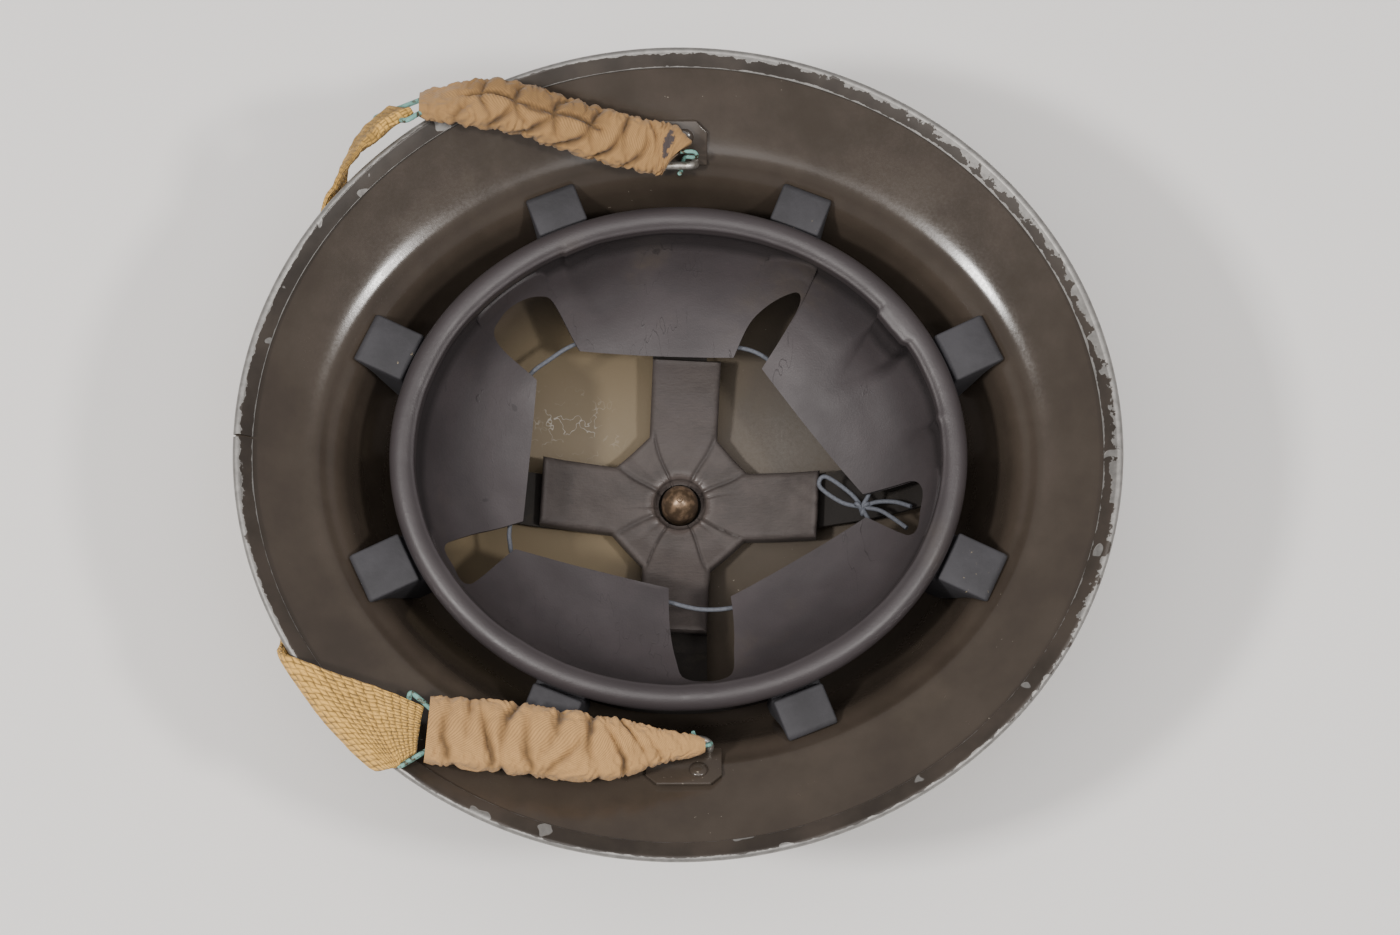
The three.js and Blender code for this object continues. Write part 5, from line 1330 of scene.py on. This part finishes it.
class HELMET_OT_crown(bpy.types.Operator):
    """Cross pad, domed nut, screw and the bands under them"""
    bl_idname = "helmet.crown"
    bl_label = "Crown"

    def execute(self, context):
        colours = context.scene.helmet_colours
        phi, edge, shoulder = pad_edge()
        recess = PAD["recess"]
        rows, folds = [], []

        def row(x, y, z, fold):
            rows.append(np.stack([x, y, z], -1))
            folds.append(np.zeros_like(phi) + fold)

        def ring(radius, z, fold):
            row(radius * np.cos(phi), radius * np.sin(phi), z, fold)

        # The last number of each ring is painted shade: under the pad's edge and down into its recess.
        for radius, lift, fold in ((recess, 0.0, 0.8), (edge, 0.0, 0.8), (edge, PAD["thick"] * 0.35, 0.3)):
            ring(radius, pad_seat(radius * np.cos(phi), radius * np.sin(phi)) + lift, fold)
        brink = recess + 0.6
        for w in np.linspace(1, 0, 46) ** 0.8:
            row(*pad_top(phi, shoulder, brink + (edge - brink) * w))
        # The recess wall carries painted shade through the ring values.
        x, y, z, fold = pad_top(phi, shoulder, recess + 0.2 + 0 * phi)
        row(x, y, z - 0.8, fold + 0.2)
        ring(recess, z - 1.8, 0.3)
        ring(recess - 1.5, z - 2.6, 0.4)
        rings = np.stack(rows, axis=1)
        c, s = math.cos(math.radians(PAD["turn"])), math.sin(math.radians(PAD["turn"]))
        x, y = rings[..., 0].copy(), rings[..., 1].copy()
        rings[..., 0], rings[..., 1] = x * c - y * s, x * s + y * c
        # Painted highlight: a lighter ring round the recess rim, which is also rubbed smoother.
        rubbed = np.exp(-((np.hypot(x, y) - recess - 1.0) / 1.6) ** 2)
        fold = np.stack(folds, axis=1)
        mesh = lofted("crown_pad_cover", rings, True, smooth=60.0, fold=fold, rubbed=rubbed)
        pad = add_piece("crown_pad_cover", mesh, pad_finish(colours), "pad_cloth", "crown_pad")
        seat, radius, wall = CROWN_SEAT, NUT["radius"], NUT["wall"]
        arc = np.linspace(0, math.pi / 2, 14)[:-2]
        dome = [(radius * math.cos(t), seat + wall + wall * math.sin(t)) for t in arc]
        top = seat + 2 * wall
        nut = [(0, NUT["depth"]), (NUT["bore"], NUT["depth"]), (NUT["bore"], seat), (radius - 0.3, seat),
               (radius, seat + 0.4), *dome, (1.1, top - 0.05), (0.8, top - 0.3), (0.4, top - 0.28),
               (0, top - 0.05)]
        nut = lathe("crown_nut_dome", nut)
        add_piece("crown_nut_dome", nut, bronze_finish(colours), "nut_bronze", "crown_nut")
        paint = paint_finish("fitting_paint", colours, chips=0.2, scratches=0.05)
        screw = lathe("crown_screw_head", SCREW_OUTLINE)
        add_piece("crown_screw_head", screw, paint, "fittings", "crown_screw")
        dress_node("crown_bands", bpy.data.materials["fibre_brown"])
        return {"FINISHED"}


class HELMET_OT_lugs(bpy.types.Operator):
    """Lug plates, their bars and rivets"""
    bl_idname = "helmet.lugs"
    bl_label = "Lugs and rivets"

    def execute(self, context):
        material, bright = bpy.data.materials["fitting_paint"], bar_finish()
        half, inner, outer, clip = LUG["half"], LUG["inner"], LUG["outer"], LUG["clip"]
        outline = [(-half, inner), (half, inner), (half, outer - clip), (half - clip, outer),
                   (clip - half, outer), (-half, outer - clip)]
        bottom, top = LUG["lift"], LUG["lift"] + LUG["thick"]
        root, bend, wide, lift = bottom + LUG["thick"] * 0.6, BAR["bend"], BAR["half"], BAR["lift"]
        line = [(-wide, root), (-wide, lift - bend), (bend - wide, lift),
                (wide - bend, lift), (wide, lift - bend), (wide, root)]
        heads, facing = [], []
        for side in LUGS:

            def place(x, out, z):
                return on_lug(side, x, out, z)

            plate = prism(f"lug_plate_{side}", outline, place, (bottom, top), LUG_ROUND)
            add_piece(f"lug_plate_{side}", plate, material, "fittings", f"lug_{side}")
            points = [on_lug(side, x, BAR["out"], z) for x, z in line]
            bar = swept([spline(points, np.linspace(0, 1, 60))], BAR["radius"], bright, 16)
            add_piece(f"lug_bar_{side}", bar, bright, "fittings")
            normal = LUG_FRAMES[side][-1]
            for height, way in ((top + 0.1, normal), (-SHEET - 0.1, -normal)):
                heads.append(on_lug(side, RIVET["x"], RIVET["out"], height) * MM)
                facing.append(way)
        spots = bpy.data.meshes.new("rivet_places")
        spots.from_pydata([tuple(p) for p in heads], [], [])
        attribute = spots.attributes.new("facing", "FLOAT_VECTOR", "POINT")
        attribute.data.foreach_set("vector", np.ravel(facing))
        radius, dome = RIVET["head"] * MM, RIVET["dome"] * MM
        mesh = run_tree(rivet_tree(), spots, Radius=radius, Dome=dome, Material=material)
        add_piece("lug_rivet_heads", mesh, material, "fittings", "lug_rivet_left", "lug_rivet_right")
        return {"FINISHED"}


def sleeve_folds(side, share, theta, sideways, upward, wander):
    """Depth of a sleeve's gathers, and how far the cloth behind its long tuck is set back."""
    valley = np.zeros_like(wander)
    for n, (at, depth, slant, bow) in enumerate(GATHERS[side]):
        line = at + slant * sideways + bow * (sideways ** 2 - 0.5) + wander
        patchy = np.clip(0.75 + 0.6 * np.sin(3.1 * n + 2.0 * theta), 0.25, 1.25)
        off = (share - line) / GATHER_WIDTH
        valley = np.maximum(valley, depth * patchy * np.exp(-np.abs(off) ** 1.5))
    if side == "right":
        return valley, np.zeros_like(valley)
    tuck = sideways - 0.2 - 0.13 * np.sin(26 * share)
    from_end = np.minimum(share - TUCK["start"], TUCK["end"] - share)
    span = np.clip(from_end / TUCK["fade"], 0, 1) * (upward > 0)
    valley = np.maximum(valley, TUCK["depth"] * span * np.exp(-(tuck / TUCK["width"]) ** 2))
    return valley, span * np.clip(tuck / 0.2, 0, 1)


class HELMET_OT_sleeves(bpy.types.Operator):
    """Gathered cloth sleeves of the chin strap"""
    bl_idname = "helmet.sleeves"
    bl_label = "Strap sleeves"

    def execute(self, context):
        sizes, colours = context.scene.helmet_sizes, context.scene.helmet_colours
        along, round_steps, square = 241, 96, 0.7
        share = np.linspace(0, 1, along)[None]
        theta = (np.arange(round_steps) * FULL_TURN / round_steps)[:, None]
        sideways = np.sign(np.cos(theta)) * np.abs(np.cos(theta)) ** square
        upward = np.sign(np.sin(theta)) * np.abs(np.sin(theta)) ** square
        for side in LUGS:
            centre, size, run, across, up = sleeve_frame(side, share[0])
            half_width, half_depth = size[:, 0], size[:, 1]

            def tube(wide, deep):
                return centre + across * (wide * sideways)[..., None] + up * (deep * upward)[..., None]

            flat = tube(half_width, half_depth)
            wander = sum(size * ripple(flat, *wave) for size, *wave in GATHER_WANDER)
            valley, back = sleeve_folds(side, share, theta, sideways, upward, wander)
            ends = np.clip(np.minimum(share / SLEEVE_CALM["tip"], (1 - share) / SLEEVE_CALM["mouth"]), 0, 1)
            creased = np.stack([share * 100 / CRINKLE["along"] + 0 * theta,
                                flat[..., 1] / CRINKLE["across"], flat[..., 2] / CRINKLE["across"]], -1)
            small = CRINKLE["large"] * ripple(creased, 1.0, 5.0)
            small = small + CRINKLE["small"] * ripple(creased * 2.1, 1.0, 9.0)
            waves = FULL_TURN * RUFFLE["count"] * share + RUFFLE["slant"] * np.sin(theta)
            ruffle = RUFFLE["height"] * np.sin(waves + RUFFLE["wander"] * wander) * sideways ** 2
            swell = PUFF["height"] * np.clip(1 - valley / PUFF["between"], 0, 1)
            swell = swell * np.clip(share / PUFF["from"], 0, 1)
            gathers = sizes.fold_depth * (ruffle + small - valley) * GATHER_DEPTH[side]
            height = (gathers - TUCK["set_back"] * back + swell) * ends
            taper = np.interp(share, *SLEEVE_TAPER[side])
            ahead = SLEEVE_MOUTH * np.clip((share - 0.9) / 0.1, 0, 1) + 0 * theta
            lean = 0 * ahead
            if side == "left":
                ahead = ahead + LEFT_TIP_CUT * (1 - sideways) / 2 * np.clip(1 - share / 0.2, 0, 1)
                lean = LEFT_MOUTH_LEAN * (1 + sideways) / 2 * np.clip((share - 0.82) / 0.18, 0, 1)
            faces = []
            for wall in (0.0, SLEEVE_WALL):
                wide = half_width * taper - wall + 0.5 * height
                deep = np.maximum(half_depth * (0.4 + 0.6 * taper) - wall + height, 0.5)
                faces.append(tube(wide, deep) - across * lean[..., None] + run * ahead[..., None])
            rings = np.concatenate([faces[0], faces[1][:, ::-1]], axis=1)
            # Painted shade in the valleys, behind the tuck and over the whole inner wall.
            dark = np.maximum(np.clip(valley / 1.4, 0, 1) ** 1.5, 0.5 * back)
            fold = np.concatenate([dark, np.ones_like(dark)], axis=1)
            spot = np.exp(-((share - 0.13) / 0.07) ** 2 - ((sideways - 0.1) / 0.9) ** 2) * (upward > 0)
            stain = np.concatenate([spot, np.zeros_like(spot)], axis=1)
            u = np.linspace(0, SLEEVE_THREADS["round"], round_steps + 1)
            v = SLEEVE_THREADS["along"] * np.concatenate([share[0], 2 - share[0, ::-1], [2]])
            mesh = lofted(f"sleeve_cloth_{side}", rings, True, u, v, 70.0, fold=fold, stain=stain)
            # Painted shade: the left sleeve's cloth is tinted darker than the right one's.
            tan = tint(colours.sleeve, SLEEVE_SHADE_TINT[side])
            twill = sleeve_finish(f"sleeve_twill_{side}", tan, SLEEVE_STAIN[side])
            piece = add_piece(f"sleeve_cloth_{side}", mesh, twill, "sleeve_cloth", f"strap_sleeve_{side}")
        return {"FINISHED"}


class HELMET_OT_webbing(bpy.types.Operator):
    """Ochre webbing from link to link, slung under the front of the brim"""
    bl_idname = "helmet.webbing"
    bl_label = "Webbing"

    def execute(self, context):
        colours = context.scene.helmet_colours
        columns, width = 33, WEBBING["width"]
        a, w = np.meshgrid(np.linspace(0, 1, 301), np.linspace(0, 1, columns), indexing="ij")
        from_end = np.minimum(a, 1 - a)
        lost = np.interp(from_end, *WEBBING_NARROWED)
        w = lost + (1 - 2 * lost) * w
        middle = on_webbing(a, w)
        for end, way in ((0.0, 1), (1.0, -1)):
            reach = unit(on_webbing(end, 0.5) - on_webbing(end + 0.02 * way, 0.5))
            middle = middle + reach * (WEBBING["hem"] * np.clip(1 - np.abs(a - end) / 0.05, 0, 1))[..., None]
        step = 0.004
        run = on_webbing(np.minimum(a + step, 1), w) - on_webbing(np.maximum(a - step, 0), w)
        side = on_webbing(a, np.minimum(w + step, 1)) - on_webbing(a, np.maximum(w - step, 0))
        normal = unit(np.cross(run, side))
        crumple = np.clip((a - WEBBING["crumpled_from"]) / 0.08, 0, 1)
        soft = (0.25 + 1.1 * crumple) * ripple(middle, 8.0)
        soft = soft + (0.15 + 0.5 * crumple) * ripple(middle, 3.5, 3.0)
        edge = np.clip(np.minimum(w - lost, 1 - lost - w) * width / 1.1, 0, 1)
        thick = np.interp(from_end, *WEBBING_THICKNESS)
        thick = thick * (0.55 + 0.45 * np.sqrt(edge))
        faces = [middle + normal * (soft + sign * thick / 2)[..., None] for sign in (1, -1)]
        rings = np.concatenate([faces[0], faces[1][:, ::-1]], axis=1)
        runs = np.linalg.norm(np.diff(middle[:, columns // 2], axis=0), axis=1)
        lengths = np.concatenate([[0], np.cumsum(runs)])
        face, hem = np.linspace(0, width, columns), 2.0
        v = np.concatenate([face, width + hem + face, [2 * (width + hem)]])
        # Darker over the crumpled end, with painted shade in its hollows.
        shade = crumple * np.clip(0.55 - 0.6 * soft, 0, 1)
        soiled = np.concatenate([shade, shade[:, ::-1]], axis=1)
        mesh = lofted("strap_webbing_cloth", rings, False, lengths, v, 60.0, soiled=soiled)
        piece = add_piece("strap_webbing_cloth", mesh, webbing_finish(colours), "webbing", "strap_webbing")
        return {"FINISHED"}


def link_corners(side):
    """Corners of a wire link between the webbing's hem and the sleeve's mouth."""
    end, step = (0.0, 0.02) if side == "right" else (1.0, -0.02)
    run = unit(on_webbing(end, 0.5) - on_webbing(end + step, 0.5))
    first, last = on_webbing(end, 0.0), on_webbing(end, 1.0)
    across = unit(last - first)
    aside, back = across * (LINK["radius"] + LINK["gap"]), run * LINK["inset"]
    centre, size, way, wide, _ = sleeve_frame(side, np.array([1.0]))
    deep = centre[0] - way[0] * LINK["depth"]
    half = size[0, 0] - SLEEVE_WALL - LINK["radius"] - LINK["clear"]
    reach = wide[0] * np.sign(wide[0] @ across) * half
    return [first - aside - back, last + aside - back, deep + reach, deep - reach]


def bent_wire(corners, bend):
    """Closed line through corners, each rounded off from `bend` millimetres before it to as far past it."""
    line = []
    for n, corner in enumerate(corners):
        before = corner + unit(corners[n - 1] - corner) * bend
        after = corner + unit(corners[(n + 1) % len(corners)] - corner) * bend
        for t in np.linspace(0, 1, 8):
            line.append(before * (1 - t) ** 2 + corner * 2 * t * (1 - t) + after * t ** 2)
    return line + line[:1]


class HELMET_OT_wires(bpy.types.Operator):
    """Tarnished hooks and links of the chin strap"""
    bl_idname = "helmet.wires"
    bl_label = "Hooks and links"

    def execute(self, context):
        material = verdigris_finish(context.scene.helmet_colours)
        for side in LUGS:
            hook = spline([on_lug(side, *row) for row in HOOK_LINE], np.linspace(0, 1, 90))
            mesh = swept([hook], HOOK_RADIUS, material)
            add_piece(f"hook_wire_{side}", mesh, material, "verdigris", f"strap_hook_{side}")
            mesh = swept([bent_wire(link_corners(side), LINK["bend"])], LINK["radius"], material)
            add_piece(f"link_wire_{side}", mesh, material, "verdigris", f"strap_link_{side}")
        return {"FINISHED"}


def lace_route():
    """Points of the lace under the tips of the tongues and across the cuts, from the knot and back to it."""
    under = CLOTH + CLEAR + LACE["radius"] + CLEAR
    route, slack = [np.array(KNOT)], []
    for tongue in TONGUES:
        for share in (0.06, 0.35, 0.65, 0.94):
            turn = tongue[0] + (tongue[1] - tongue[0]) * share
            radius = band_radius(turn)
            at = tip_share(tongue, turn) + LACE["inset"] / radius
            rise = bowl_slope(at)
            size = math.hypot(rise, radius)
            out, up = at * radius + under * rise / size, bowl_height(at) - under * radius / size
            route.append(polar(turn, out, up))
        if tongue is not TONGUES[-1]:
            slack.append(len(route))
    for n in reversed(slack):
        middle = (route[n - 1] + route[n]) / 2
        route.insert(n, middle + unit(middle * (1, 1, 0)) * LACE["slack"] - (0, 0, LACE["sag"]))
    return route + [np.array(KNOT)]


class HELMET_OT_lace(bpy.types.Operator):
    """Cord that draws the tongues of the lining together"""
    bl_idname = "helmet.lace"
    bl_label = "Lace"

    def execute(self, context):
        material = lace_finish(context.scene.helmet_colours)
        lines = [spline(lace_route(), np.linspace(0, 1, 420), even=True)[:-1]]
        for n, bow in enumerate(LACE_BOWS):
            line = spline([KNOT, *bow], np.linspace(0, 1, 70), even=True)
            lines.append(line[:-1] if n == 0 else line)
        t = np.linspace(0, FULL_TURN, 90)
        x, y = 1.7 * np.sin(t) + 0.9 * np.sin(2 * t), 1.6 * np.cos(t) - 0.9 * np.cos(2 * t)
        lines.append(np.stack([x, y, 0.9 * np.sin(3 * t)], -1) + np.array(KNOT))
        mesh = swept(lines, LACE["radius"] * LACE["drawn"], material, 10)
        add_piece("lace_cord", mesh, material, "lace", "lace")
        return {"FINISHED"}


class HELMET_PT_sidebar(bpy.types.Panel):
    """Sizes, colours and pieces of the helmet"""
    bl_idname = "HELMET_PT_sidebar"
    bl_label = "Steel Combat Helmet"
    bl_space_type = "VIEW_3D"
    bl_region_type = "UI"
    bl_category = "Helmet"

    def draw(self, context):
        for group in (context.scene.helmet_sizes, context.scene.helmet_colours):
            box = self.layout.box()
            for name in group.__annotations__:
                box.prop(group, name)
        for operator in OPERATORS:
            self.layout.operator(operator.bl_idname)


OPERATORS = (
    HELMET_OT_stage, HELMET_OT_shell, HELMET_OT_rim, HELMET_OT_lining, HELMET_OT_buffers, HELMET_OT_crown,
    HELMET_OT_lugs, HELMET_OT_sleeves, HELMET_OT_webbing, HELMET_OT_wires, HELMET_OT_lace)
CLASSES = (HelmetSizes, HelmetColours, *OPERATORS, HELMET_PT_sidebar)


def register():
    for cls in CLASSES:
        bpy.utils.register_class(cls)
    bpy.types.Scene.helmet_sizes = PointerProperty(type=HelmetSizes)
    bpy.types.Scene.helmet_colours = PointerProperty(type=HelmetColours)


def unregister():
    del bpy.types.Scene.helmet_colours
    del bpy.types.Scene.helmet_sizes
    for cls in reversed(CLASSES):
        bpy.utils.unregister_class(cls)


def main():
    register()
    bpy.ops.helmet.stage()
    bpy.ops.helmet.shell()
    bpy.ops.helmet.rim()
    bpy.ops.helmet.lining()
    bpy.ops.helmet.buffers()
    bpy.ops.helmet.crown()
    bpy.ops.helmet.lugs()
    bpy.ops.helmet.sleeves()
    bpy.ops.helmet.webbing()
    bpy.ops.helmet.wires()
    bpy.ops.helmet.lace()


if __name__ == "__main__":
    main()
